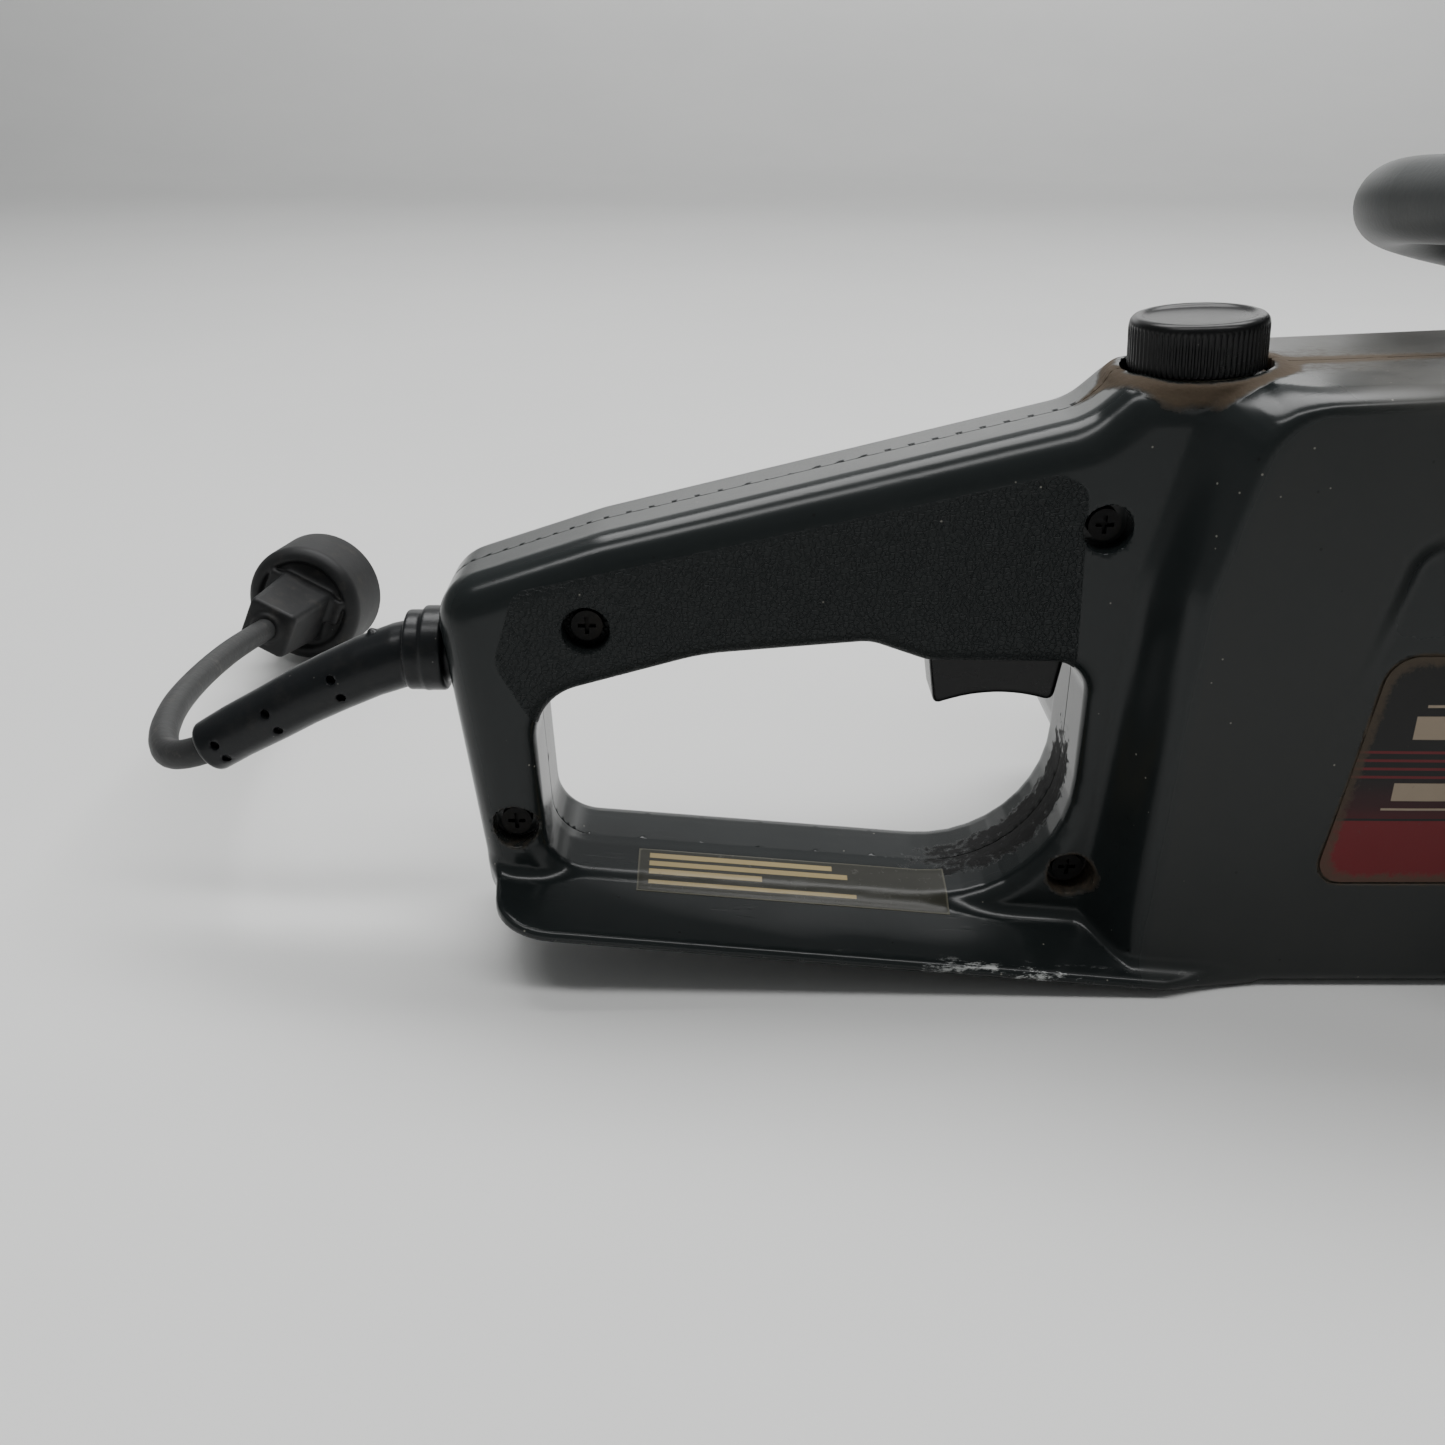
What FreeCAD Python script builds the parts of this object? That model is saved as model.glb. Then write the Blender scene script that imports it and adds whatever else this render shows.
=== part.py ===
"""Corded electric chainsaw with a 14-inch bar, as separate pieces.

Frame: +X towards the bar nose, +Y to the saw's left, +Z up, millimetres.
The drawing frame has X = 0 near the middle of the rear handle, Y = 0 on the parting plane of the
housing and Z = 0 on the ground. ORIGIN is the point of the drawing frame that becomes the origin.
"""
import FreeCAD, Part
import math
import os

V = FreeCAD.Vector

# ---- driving dimensions -------------------------------------------------------------------
ORIGIN = V(281.78, 12.4, 0)

WALL = 3.0
FIT = 0.05                 # radial running clearance
HANDLE_HALF = 19.0         # half width of the rear handle
BODY_HALF = 35.0           # half width of the body
BULGE_OUTER = 96.0         # left face of the motor bulge
HANDLE_ROUND = 6.0
BODY_ROUND = 4.5
BULGE_ROUND = 14.0

GRIP_REAR_X = -71.0
NECK_X = 90.0              # front wall of the rear-handle opening
BODY_FRONT_X = 352.0
BODY_TOP = 157.0
LABEL_DEPTH = 0.8
LABEL_OUTLINE = [(147.0, 31.5, 6), (155.5, 92.0, 8), (209.0, 92.0, 6), (209.0, 31.5, 6)]
LOWER_LABEL = (-22.5, 60.0, -21.6, -5.0)   # X and Y limits of the lower label

# Lower guard: Y of the inner and outer ends of its sloping top, and its plan (x, y, radius)
GUARD_INNER = -4.0
GUARD_OUTER = -40.5
GUARD_PLAN = [(-61.5, 2, 0), (-57.0, GUARD_OUTER, 15), (113, GUARD_OUTER, 7), (137, -33, 0),
              (137, 2, 0)]

SCREW_RADIUS = 2.0
SCREW_HEAD_RADIUS = 3.9
SCREW_RECESS_RADIUS = 5.8
SCREW_RECESS_FLOOR = 6.5   # depth of a recess below the handle's face
BOSS_RADIUS = 5.4
PILOT_RADIUS = 1.95        # clears the small screws' shanks
HANDLE_SCREWS = [(-33.0, 92.5), (90.0, 118.0), (-53.5, 38.0), (91.0, 24.0)]
BODY_SCREWS = [(205.0, 143.0), (338.0, 112.0), (338.0, 14.0)]
SPIKE_SCREWS = [(337.0, 101.0), (346.0, 91.0)]
CASE_SCREWS = [(165.0, 104.0), (283.0, 106.4), (289.4, 26.0), (206.0, 22.0)]
FOOT_SCREWS = [(289.5, 60.0), (314.5, 84.0)]     # (x, z), front handle's left foot
TOP_FOOT_SCREWS = [(240.5, -12.5), (257.0, -12.5)]   # (x, y), front handle's right foot
GUARD_SCREWS = [(291.0, -18.0), (291.0, 18.0)]   # (x, y), hand guard's foot
CLAMP_X = -50.0
CLAMP_SCREW_YS = (-9.0, 9.0)

FRONT_HANDLE_ROUTE = [
    (302.0, 35.0, 72.0), (303.0, 88.0, 74.0), (258.0, 90.0, 163.0), (169.0, 80.0, 181.0),
    (190.0, -44.0, 193.0), (246.0, -34.0, 181.0), (252.0, -24.0, 156.0),
]
FRONT_HANDLE_RADIUS = 10.5
HANDLE_FOOT = 5.0          # thickness of the left foot
TOP_FOOT_TOP = BODY_TOP + 4.0
GUARD_FOOT_TOP = 150.5

COVER_OUTLINE = [(217.0, 16.0, 20), (217.0, 112.0, 26), (300.0, 114.0, 40), (358.0, 100.0, 12),
                 (358.0, 26.0, 12), (340.0, 16.0, 14)]
COVER_OUTER = -66.0

MOTOR_X, MOTOR_Z = 205.0, 78.0
MODULE = 1.5
PINION_TEETH = 10
GEAR_TEETH = 52
CENTRE_DISTANCE = MODULE * (PINION_TEETH + GEAR_TEETH) / 2
DRIVE_Z = 62.0
DRIVE_X = MOTOR_X + math.sqrt(CENTRE_DISTANCE ** 2 - (MOTOR_Z - DRIVE_Z) ** 2)
LINE_OF_CENTRES = math.atan2(DRIVE_Z - MOTOR_Z, DRIVE_X - MOTOR_X)
CASE_OUTLINE = [(158, 30, 16), (158, 112, 20), (295, 112, 20), (295, 14, 22), (200, 14, 22)]
BEARING_RADIUS = 11.0
BEARING_WIDTH = 7.0
SHAFT_RADIUS = 4.0
SHAFT_BORE = SHAFT_RADIUS + 0.03

CHAIN_PITCH = 9.525
DRIVE_LINKS = 52
SPROCKET_POCKETS = 6
SPROCKET_PITCH_RADIUS = SPROCKET_POCKETS * 2 * CHAIN_PITCH / (2 * math.pi)
NOSE_TEETH = 8
NOSE_PITCH_RADIUS = NOSE_TEETH * 2 * CHAIN_PITCH / (2 * math.pi)
BAR_Y = -47.0
BAR_THICKNESS = 4.4
BAR_INSET = 3.6            # rail below the chain's pitch line
TANG_DEPTH = 5.2           # drive tang below the pitch line
TAIL_X = DRIVE_X + 42.0
STUD_XS = (TAIL_X + 14.0, TAIL_X + 38.0)
CORNER_X = TAIL_X + 10.0   # where the chain's straight runs start
TENSION_X = TAIL_X + 12.0
TENSION_Y = -40.4
TENSION_Z = DRIVE_Z - 9.5

CAP_X = 111.0
CAP_RADIUS = 16.0
CAP_HEIGHT = 12.5
CAP_LEAN = 4.0             # degrees towards the rear handle
COLLAR_TOP = 151.5
CAP_SEAT_RADIUS = 17.3
TANK_TOP = 134.0
OIL_LINE = [(152.0, -24.0, 42.0), (156.0, -24.0, 26.0), (166.0, -24.0, 9.0),
            (200.0, -24.0, 7.4), (250.0, -24.0, 7.4), (296.0, -24.0, 9.0),
            (308.0, -24.0, 17.0), (310.0, -24.0, 30.0)]

TRIGGER_PIVOT = (82.0, 97.0)
TRIGGER_HALF = 7.4
LOCK_X, LOCK_Z = 74.0, 114.0
SWITCH_BOX = (28.0, 62.0, -8.0, 8.0, 99.0, 117.0)
PLUNGER_X = 56.0

CORD_DIAMETER = 8.0
BOOT_HOLE_Z = 81.0
BOOT_ROUTE = [(-136.4, 0.0, 51.7), (-118.0, 0.0, 61.5), (-100.0, 0.0, 72.0), (-82.0, 0.0, 79.0)]
INNER_CORD = BOOT_ROUTE + [(-63.0, 0.0, 81.5), (-51.0, 0.0, 84.2), (-41.0, 0.0, 84.6)]

# Free cord: centre line from the boot's end to the plug, chosen by hand.
CORD_ROUTE = [
    (-136.4, 0.0, 51.7), (-147.0, 0.5, 47.5), (-155.0, 14.0, 47.0), (-161.0, 38.0, 44.5),
    (-165.5, 64.0, 40.0), (-168.0, 92.0, 35.5), (-168.6, 119.5, 31.3), (-166.9, 145.0, 27.1),
]
PLUG_AXIS = V(0.16, 0.984, -0.07).normalize()
GRIP_LENGTH = 29.0
PLUG_DEPTH = 24.0
PLUG_RADIUS = 22.8
BLADE_XS = (-6.35, 6.35)   # half the 12.7 mm spacing, to each side


# ---- helpers ------------------------------------------------------------------------------
def plane_y(y):
    """Placement of drawing pairs (x, z) on the plane Y = y."""
    return lambda a, b: V(a, y, b)


def plane_x(x):
    """Placement of drawing pairs (y, z) on the plane X = x."""
    return lambda a, b: V(x, a, b)


def plane_z(z):
    """Placement of drawing pairs (x, y) on the plane Z = z."""
    return lambda a, b: V(a, b, z)


def outline(corners, place):
    """Closed wire through corners (a, b, radius), each rounded by a tangent arc."""
    edges = []
    last_end = None
    first_start = None
    count = len(corners)
    for index, (a, b, radius) in enumerate(corners):
        here = V(a, b, 0)
        before = V(*corners[index - 1][:2], 0)
        after = V(*corners[(index + 1) % count][:2], 0)
        into = (here - before).normalize()
        out = (after - here).normalize()
        half_turn = into.getAngle(out) / 2
        start = here - into * radius * math.tan(half_turn)
        end = here + out * radius * math.tan(half_turn)
        if last_end is not None:
            edges.append(Part.LineSegment(place(last_end.x, last_end.y), place(start.x, start.y)))
        if radius > 0:
            bisector = (out - into).normalize()
            middle = here + bisector * (radius / math.cos(half_turn) - radius)
            edges.append(Part.Arc(*[place(p.x, p.y) for p in (start, middle, end)]))
        if first_start is None:
            first_start = start
        last_end = end
    edges.append(Part.LineSegment(place(last_end.x, last_end.y),
                                  place(first_start.x, first_start.y)))
    return Part.Wire([edge.toShape() for edge in edges])


def face(corners, place, inset=0.0):
    """Flat face inside an outline, drawn in by inset."""
    flat = Part.Face(outline(corners, place))
    return flat.makeOffset2D(-inset) if inset else flat


def slab(corners, y0, y1, inset=0.0):
    """Prism between two Y planes from corners (x, z, radius)."""
    return face(corners, plane_y(y0), inset).extrude(V(0, y1 - y0, 0))


def round_rims(solid, radius, *ys):
    """Fillet every edge that lies in one of the planes Y = y."""
    rims = []
    for edge in solid.Edges:
        box = edge.BoundBox
        if any(abs(box.YMin - y) < 1e-4 and abs(box.YMax - y) < 1e-4 for y in ys):
            rims.append(edge)
    return solid.makeFillet(radius, rims)


def rod(radius, start, end, bore=0.0):
    """Cylinder, or a tube if it has a bore, between two points."""
    start, end = V(*start), V(*end)
    solid = Part.makeCylinder(radius, (end - start).Length, start, end - start)
    if bore:
        solid = solid.cut(Part.makeCylinder(bore, (end - start).Length, start, end - start))
    return solid


def block(x0, x1, y0, y1, z0, z1):
    """Box between two corners."""
    return Part.makeBox(x1 - x0, y1 - y0, z1 - z0, V(x0, y0, z0))


def join(solids):
    """One solid from overlapping ones."""
    solids = list(solids)
    return solids[0].multiFuse(solids[1:]).removeSplitter()


def ring_of_teeth(x, z, y0, y1, teeth, root, tip, share=0.5, phase=0.0):
    """Toothed disc about an axis along Y; a tooth is a trapezium centred on the phase angle."""
    step = 2 * math.pi / teeth
    points = []
    for index in range(teeth):
        middle = phase + index * step
        for angle, radius in ((-0.5 * share, root), (-0.22 * share, tip),
                              (0.22 * share, tip), (0.5 * share, root)):
            turn = middle + angle * step
            points.append((x + radius * math.cos(turn), z + radius * math.sin(turn), 0))
    return slab(points, y0, y1)


def bent_path(points, report=""):
    """Straight runs joined by tangent arcs as large as the runs allow."""
    points = [V(*point) for point in points]
    edges = []
    start = points[0]
    radii = []
    for before, here, after in zip(points, points[1:], points[2:]):
        into = (here - before).normalize()
        out = (after - here).normalize()
        half_turn = into.getAngle(out) / 2
        setback = 0.45 * min((here - before).Length, (after - here).Length)
        radius = setback / math.tan(half_turn)
        radii.append(radius)
        arc_start = here - into * setback
        arc_end = here + out * setback
        middle = here + (out - into).normalize() * (radius / math.cos(half_turn) - radius)
        edges.append(Part.LineSegment(start, arc_start).toShape())
        edges.append(Part.Arc(arc_start, middle, arc_end).toShape())
        start = arc_end
    edges.append(Part.LineSegment(start, points[-1]).toShape())
    path = Part.Wire(edges)
    if report:
        print(report, "radii", [round(radius, 1) for radius in radii],
              "length", round(path.Length, 1))
    return path


def tube(points, radius, bore=0.0, report=""):
    """Round bar along a bent path, or a hollow one if it has a bore."""
    path = bent_path(points, report)
    start, toward = V(*points[0]), V(*points[1]) - V(*points[0])
    swept = []
    for size in (radius, bore):
        if size:
            ring = Part.Wire(Part.makeCircle(size, start, toward))
            swept.append(path.makePipeShell([ring], True, True))
    if report:
        print(report, "volume ratio",
              round(swept[0].Volume / (math.pi * radius ** 2 * path.Length), 4))
    return swept[0].cut(swept[1]) if bore else swept[0]


def coil_spring(radius, wire, height, turns, base, direction):
    """Open helical spring that stands on base and runs along direction."""
    helix = Part.makeHelix(height / turns, height, radius)
    ring = Part.Wire(Part.makeCircle(wire, V(radius, 0, 0), V(0, 1, 0)))
    spring = Part.Wire(helix.Edges).makePipeShell([ring], True, True)
    spring.Placement = FreeCAD.Placement(V(*base), FreeCAD.Rotation(V(0, 0, 1), V(*direction)))
    return spring


def hex_head(across, x, z, y0, y1):
    """Hexagonal prism about an axis along Y."""
    corner = across / math.sqrt(3)
    points = [(x + corner * math.cos(k * math.pi / 3), z + corner * math.sin(k * math.pi / 3), 0)
              for k in range(6)]
    return slab(points, y0, y1)


def sector(x, z, inner, outer, start_deg, end_deg, y0, y1):
    """Part of a ring about an axis along Y, between two angles from +X towards +Z."""
    def at(radius, degrees):
        turn = math.radians(degrees)
        return V(x + radius * math.cos(turn), y0, z + radius * math.sin(turn))
    middle = (start_deg + end_deg) / 2
    edges = [
        Part.Arc(at(outer, start_deg), at(outer, middle), at(outer, end_deg)).toShape(),
        Part.LineSegment(at(outer, end_deg), at(inner, end_deg)).toShape(),
        Part.Arc(at(inner, end_deg), at(inner, middle), at(inner, start_deg)).toShape(),
        Part.LineSegment(at(inner, start_deg), at(outer, start_deg)).toShape(),
    ]
    return Part.Face(Part.Wire(edges)).extrude(V(0, y1 - y0, 0))


# ---- housing outlines: corners (x, z, radius) ----------------------------------------------
HANDLE_OUTLINE = [
    (-61.0, 11.0, 9), (GRIP_REAR_X, 101.0, 13), (-30.0, 114.5, 60), (84.0, 142.5, 16),
    (94.0, COLLAR_TOP, 10), (140.0, COLLAR_TOP, 10), (140.0, 1.0, 10), (112.0, 1.0, 10),
]
OPENING_OUTLINE = [
    (-45.5, 25.8, 12), (-47.5, 73.0, 15), (-5.0, 85.0, 60), (36.0, 88.5, 12), (50.0, 83.5, 10),
    (NECK_X, 83.0, 9), (NECK_X, 13.8, 34),
]
BODY_OUTLINE = [
    (108.0, 0.0, 5), (124.0, 152.5, 12), (240.0, BODY_TOP, 60), (BODY_FRONT_X, 124.0, 24),
    (BODY_FRONT_X, 0.0, 12),
]
BULGE_OUTLINE = [
    (97.0, 16.0, 30), (97.0, 128.0, 44), (256.0, 128.0, 40), (256.0, 16.0, 30),
]


def guard_top(x, y):
    """Height of the lower guard's sloping top: level with the opening's floor near Y = 0."""
    inner = 21.6 - 0.0886 * x
    outer = 16.0 - 0.096 * x
    return inner + (outer - inner) * (y - GUARD_INNER) / (GUARD_OUTER - GUARD_INNER)


def lower_guard():
    """Thin wall that flares out and down from the handle's lower bar, cut to its plan."""
    sections = []
    for x in (-70.0, 140.0):
        inner, outer = guard_top(x, GUARD_INNER), guard_top(x, GUARD_OUTER)
        sections.append(outline([(GUARD_INNER, inner, 0), (GUARD_OUTER, outer, 0),
                                 (GUARD_OUTER, outer - 3.2, 0), (GUARD_INNER, inner - 8.0, 0)],
                                plane_x(x)))
    plan = Part.Face(outline(GUARD_PLAN, plane_z(0.4))).extrude(V(0, 0, 60))
    return Part.makeLoft(sections, True, True).common(plan)


def outer_form():
    """Outside of the housing, without its holes."""
    handle = slab(HANDLE_OUTLINE, -HANDLE_HALF, HANDLE_HALF)
    handle = handle.cut(slab(OPENING_OUTLINE, -40, 40))
    handle = round_rims(handle, HANDLE_ROUND, -HANDLE_HALF, HANDLE_HALF)
    body = round_rims(slab(BODY_OUTLINE, -BODY_HALF, BODY_HALF), BODY_ROUND,
                      -BODY_HALF, BODY_HALF)
    bulge = round_rims(slab(BULGE_OUTLINE, 20, BULGE_OUTER), BULGE_ROUND, BULGE_OUTER)
    bar_pad = slab([(TAIL_X - 8, 44, 5), (TAIL_X - 8, 80, 5), (BODY_FRONT_X - 2, 80, 5),
                    (BODY_FRONT_X - 2, 44, 5)], BAR_Y + BAR_THICKNESS / 2, -BODY_HALF + 1)
    return join([handle, body, bulge, lower_guard(), bar_pad])


def inner_void():
    """Room inside the housing, one wall thickness in."""
    handle = slab(HANDLE_OUTLINE, WALL - HANDLE_HALF, HANDLE_HALF - WALL, WALL)
    opening = Part.Face(outline(OPENING_OUTLINE, plane_y(-40))).makeOffset2D(WALL)
    handle = handle.cut(opening.extrude(V(0, 80, 0)))
    handle = round_rims(handle, HANDLE_ROUND - WALL, WALL - HANDLE_HALF, HANDLE_HALF - WALL)
    body = slab(BODY_OUTLINE, WALL - BODY_HALF, BODY_HALF - WALL, WALL)
    body = round_rims(body, BODY_ROUND - WALL, WALL - BODY_HALF, BODY_HALF - WALL)
    bulge = slab(BULGE_OUTLINE, 20, BULGE_OUTER - WALL, WALL)
    bulge = round_rims(bulge, BULGE_ROUND - WALL, BULGE_OUTER - WALL)
    return join([handle, body, bulge])


def screw_places():
    """Each housing screw: x, z and the half width of the housing there."""
    for x, z in HANDLE_SCREWS:
        yield x, z, HANDLE_HALF
    for x, z in BODY_SCREWS:
        yield x, z, BODY_HALF


def cap_axis():
    """Direction of the filler axis, leaning towards the rear handle."""
    lean = math.radians(CAP_LEAN)
    return V(-math.sin(lean), 0, math.cos(lean))


def cap_point(height):
    """Point on the filler axis, measured from the top of the collar."""
    return V(CAP_X, 0, COLLAR_TOP) + cap_axis() * height


def along_cap(radius, low, high):
    """Cylinder on the filler axis between two heights."""
    return Part.makeCylinder(radius, high - low, cap_point(low), cap_axis())


# ---- housing halves ------------------------------------------------------------------------
def screw_boss(x, z, half, side):
    """Post for one housing screw: a cup round the recess on the right, a plain post on the left."""
    seat = SCREW_RECESS_FLOOR - half
    if side < 0:
        cup = rod(SCREW_RECESS_RADIUS + 1.8, (x, seat - SCREW_RECESS_FLOOR, z), (x, seat + 2, z))
        return join([cup, rod(BOSS_RADIUS, (x, seat, z), (x, 0, z))])
    return rod(BOSS_RADIUS, (x, 0, z), (x, half - 1, z))


def screw_bore(x, z, half, side):
    """Recess and clearance hole on the right, pilot hole on the left."""
    seat = SCREW_RECESS_FLOOR - half
    if side < 0:
        recess = rod(SCREW_RECESS_RADIUS, (x, seat - 20, z), (x, seat, z))
        return join([recess, rod(SCREW_RADIUS + 0.2, (x, seat - 1, z), (x, 1, z))])
    return rod(SCREW_RADIUS, (x, -1, z), (x, 13, z))


def housing_ribs(side):
    """Inner posts that hold the trigger pin, the lock-off spring and the cord clamp."""
    x, z = TRIGGER_PIVOT
    inner = HANDLE_HALF - WALL
    posts = [rod(5.0, (x, side * 8.4, z), (x, side * (inner + 1), z))]
    low, high = sorted((side * 5.5, side * (inner + 1)))
    posts.append(block(-54, -46, low, high, 79, 86))
    if side < 0:
        posts.append(rod(4.5, (LOCK_X, -inner - 1, LOCK_Z), (LOCK_X, -0.2, LOCK_Z)))
    return posts


def housing_cuts():
    """Openings through the walls of both halves."""
    x, z = TRIGGER_PIVOT
    yield block(46.5, 87.0, -8.4, 8.4, 70, 91)
    yield rod(2.0, (x, -12.5, z), (x, 12.5, z))
    yield rod(7.1, (-90, 0, BOOT_HOLE_Z), (-60, 0, BOOT_HOLE_Z))
    yield along_cap(12.5, -14, 10)
    yield along_cap(CAP_SEAT_RADIUS, -0.8, 10)
    yield rod(9.5, (DRIVE_X, -40, DRIVE_Z), (DRIVE_X, -30, DRIVE_Z))
    yield rod(5.0, (LOCK_X, 12, LOCK_Z), (LOCK_X, 25, LOCK_Z))
    yield tube(INNER_CORD, CORD_DIAMETER / 2 + 0.1)
    for stud_x in STUD_XS:
        yield rod(4.0, (stud_x, -46, DRIVE_Z), (stud_x, -30, DRIVE_Z))
    yield block(TENSION_X - 7, TENSION_X + 7, -46, -36.5, TENSION_Z - 3.6, TENSION_Z + 3.6)
    yield rod(2.0, (TENSION_X - 9, TENSION_Y, TENSION_Z), (BODY_FRONT_X + 5, TENSION_Y, TENSION_Z))
    for row in range(7):
        slot_z = 44 + row * 10
        yield slab([(135, slot_z, 1.9), (135, slot_z + 4, 1.9), (232, slot_z + 4, 1.9),
                    (232, slot_z, 1.9)], BULGE_OUTER - 5, BULGE_OUTER + 1)
    yield slab(LABEL_OUTLINE, -BODY_HALF - 1, -BODY_HALF + LABEL_DEPTH)
    yield label_slope(12.0, 0.2)
    for y in CLAMP_SCREW_YS:
        yield rod(1.55, (CLAMP_X, y, 79.8), (CLAMP_X, y, 95))
    yield from foot_screw_bores()


def foot_screw_bores():
    """Pilot holes of the screws that hold the front handle, the hand guard and the spikes."""
    for x, z in FOOT_SCREWS:
        yield rod(PILOT_RADIUS, (x, BODY_HALF - 8, z), (x, BODY_HALF + HANDLE_FOOT + 1, z))
    for x, y in TOP_FOOT_SCREWS + GUARD_SCREWS:
        yield rod(PILOT_RADIUS, (x, y, 130), (x, y, TOP_FOOT_TOP + 1))
    for x, z in SPIKE_SCREWS:
        yield rod(PILOT_RADIUS, (x, -45, z), (x, -23, z))


def housing_halves():
    """Both shells with their posts, bores and openings."""
    outer = outer_form()
    void = inner_void()
    cuts = list(housing_cuts())
    halves = {}
    for name, side in (("right_housing", -1), ("left_housing", 1)):
        low, high = sorted((0, side * 150))
        shell = outer.common(block(-150, 450, low, high, -20, 260)).cut(void)
        posts = [screw_boss(x, z, half, side) for x, z, half in screw_places()]
        posts += housing_ribs(side)
        posts = [post.common(outer) for post in posts]
        shell = join([shell] + posts)
        bores = [screw_bore(x, z, half, side) for x, z, half in screw_places()]
        halves[name] = shell.cut(cuts + bores)
    return halves


def housing_screws():
    """Cross-recessed pan-head screws along Y."""
    screws = []
    for x, z, half in screw_places():
        seat = SCREW_RECESS_FLOOR - half
        head = rod(SCREW_HEAD_RADIUS, (x, seat - 2.6, z), (x, seat, z))
        shank = rod(SCREW_RADIUS, (x, seat, z), (x, 12.5, z))
        cross = [block(x - 2.2, x + 2.2, seat - 3, seat - 1.2, z - 0.5, z + 0.5),
                 block(x - 0.5, x + 0.5, seat - 3, seat - 1.2, z - 2.2, z + 2.2)]
        screws.append(join([head, shank]).cut(cross))
    return screws


# ---- handles and guards -------------------------------------------------------------------
def front_handle():
    """Hollow wrap-round handle with a foot on the body's left side and one on its top."""
    pipe = tube(FRONT_HANDLE_ROUTE, FRONT_HANDLE_RADIUS)
    left_foot = slab([(284, 54, 8), (284, 90, 8), (320, 90, 8), (320, 54, 8)],
                     BODY_HALF, BODY_HALF + HANDLE_FOOT)
    right_foot = block(234, 262, -32, -8, BODY_TOP - 2, TOP_FOOT_TOP)
    head_room = [rod(3.4, (x, y, TOP_FOOT_TOP), (x, y, TOP_FOOT_TOP + 12))
                 for x, y in TOP_FOOT_SCREWS]
    head_room += [rod(3.8, (x, BODY_HALF + HANDLE_FOOT, z), (x, BODY_HALF + HANDLE_FOOT + 9, z))
                  for x, z in FOOT_SCREWS]
    handle = join([pipe, left_foot, right_foot])
    return handle.cut([outer_form(), tube(FRONT_HANDLE_ROUTE, FRONT_HANDLE_RADIUS - 3)]
                      + head_room + list(foot_screw_bores()))


def handle_screws():
    """Screws that hold the front handle's two feet."""
    screws = []
    seat = BODY_HALF + HANDLE_FOOT
    for x, z in FOOT_SCREWS:
        screws.append(join([rod(3.6, (x, seat, z), (x, seat + 2.4, z)),
                            rod(1.9, (x, seat - 12, z), (x, seat, z))]))
    for x, y in TOP_FOOT_SCREWS:
        screws.append(join([rod(3.2, (x, y, TOP_FOOT_TOP), (x, y, TOP_FOOT_TOP + 2.2)),
                            rod(1.9, (x, y, TOP_FOOT_TOP - 16), (x, y, TOP_FOOT_TOP))]))
    return screws


def hand_guard():
    """Front guard: an upright shield with a window, on a foot screwed to the body's top."""
    shield = slab([(262, 148, 1), (262, 156.5, 1), (269, 158, 6), (287, 202, 2), (291.5, 200, 2),
                   (275, 157, 6), (276, 144, 1)], -58, 64)
    window = slab([(255, 168, 0), (300, 168, 0), (300, 188, 0), (255, 188, 0)], -42, 48)
    foot = block(270, 300, -26, 26, 144, GUARD_FOOT_TOP)
    side_room = [block(250, 310, -60, -BODY_HALF + 3, 140, 160),
                 block(250, 310, BODY_HALF - 3, 70, 140, 160)]
    guard = join([shield.cut([window] + side_room), foot])
    return guard.cut([outer_form(), front_handle()] + list(foot_screw_bores()))


def sprocket_cover():
    """Hollow cover over the drive sprocket, with posts for the two nuts."""
    shell = round_rims(slab(COVER_OUTLINE, COVER_OUTER, -BODY_HALF), 5, COVER_OUTER)
    shell = shell.cut(slab(COVER_OUTLINE, COVER_OUTER + WALL, -BODY_HALF + 1, WALL))
    posts = [rod(9, (x, COVER_OUTER + 1, DRIVE_Z), (x, BAR_Y - BAR_THICKNESS / 2, DRIVE_Z))
             for x in STUD_XS]
    mouth = block(340, 370, COVER_OUTER + 6, -30, 27, 97)
    bores = [rod(4.1, (x, -80, DRIVE_Z), (x, -30, DRIVE_Z)) for x in STUD_XS]
    pockets = [rod(9.5, (x, COVER_OUTER - 1, DRIVE_Z), (x, COVER_OUTER + 2, DRIVE_Z))
               for x in STUD_XS]
    ribs = [slab([(224 + 9 * k, 40 + 2 * k, 1), (226 + 9 * k, 88 - 2 * k, 1),
                  (229 + 9 * k, 88 - 2 * k, 1), (227 + 9 * k, 40 + 2 * k, 1)],
                 COVER_OUTER - 1, COVER_OUTER + 1.2) for k in range(5)]
    spike_room = block(329, 360, -42, -30, 36, 112)
    return join([shell] + posts).cut([mouth, spike_room] + bores + pockets + ribs)


def bar_studs():
    """Threaded studs whose hexagonal heads sit inside the right housing."""
    return [join([rod(4.0, (x, -32, DRIVE_Z), (x, -75, DRIVE_Z)),
                  hex_head(13, x, DRIVE_Z, -32, -28)]) for x in STUD_XS]


def bar_nuts():
    """Flanged hexagonal nuts on the studs, outside the sprocket cover."""
    nuts = []
    for x in STUD_XS:
        flange = rod(8.6, (x, COVER_OUTER + 2, DRIVE_Z), (x, COVER_OUTER, DRIVE_Z))
        body = hex_head(13, x, DRIVE_Z, COVER_OUTER - 6, COVER_OUTER)
        nuts.append(join([flange, body]).cut(rod(4.0, (x, -80, DRIVE_Z), (x, -50, DRIVE_Z))))
    return nuts


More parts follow.
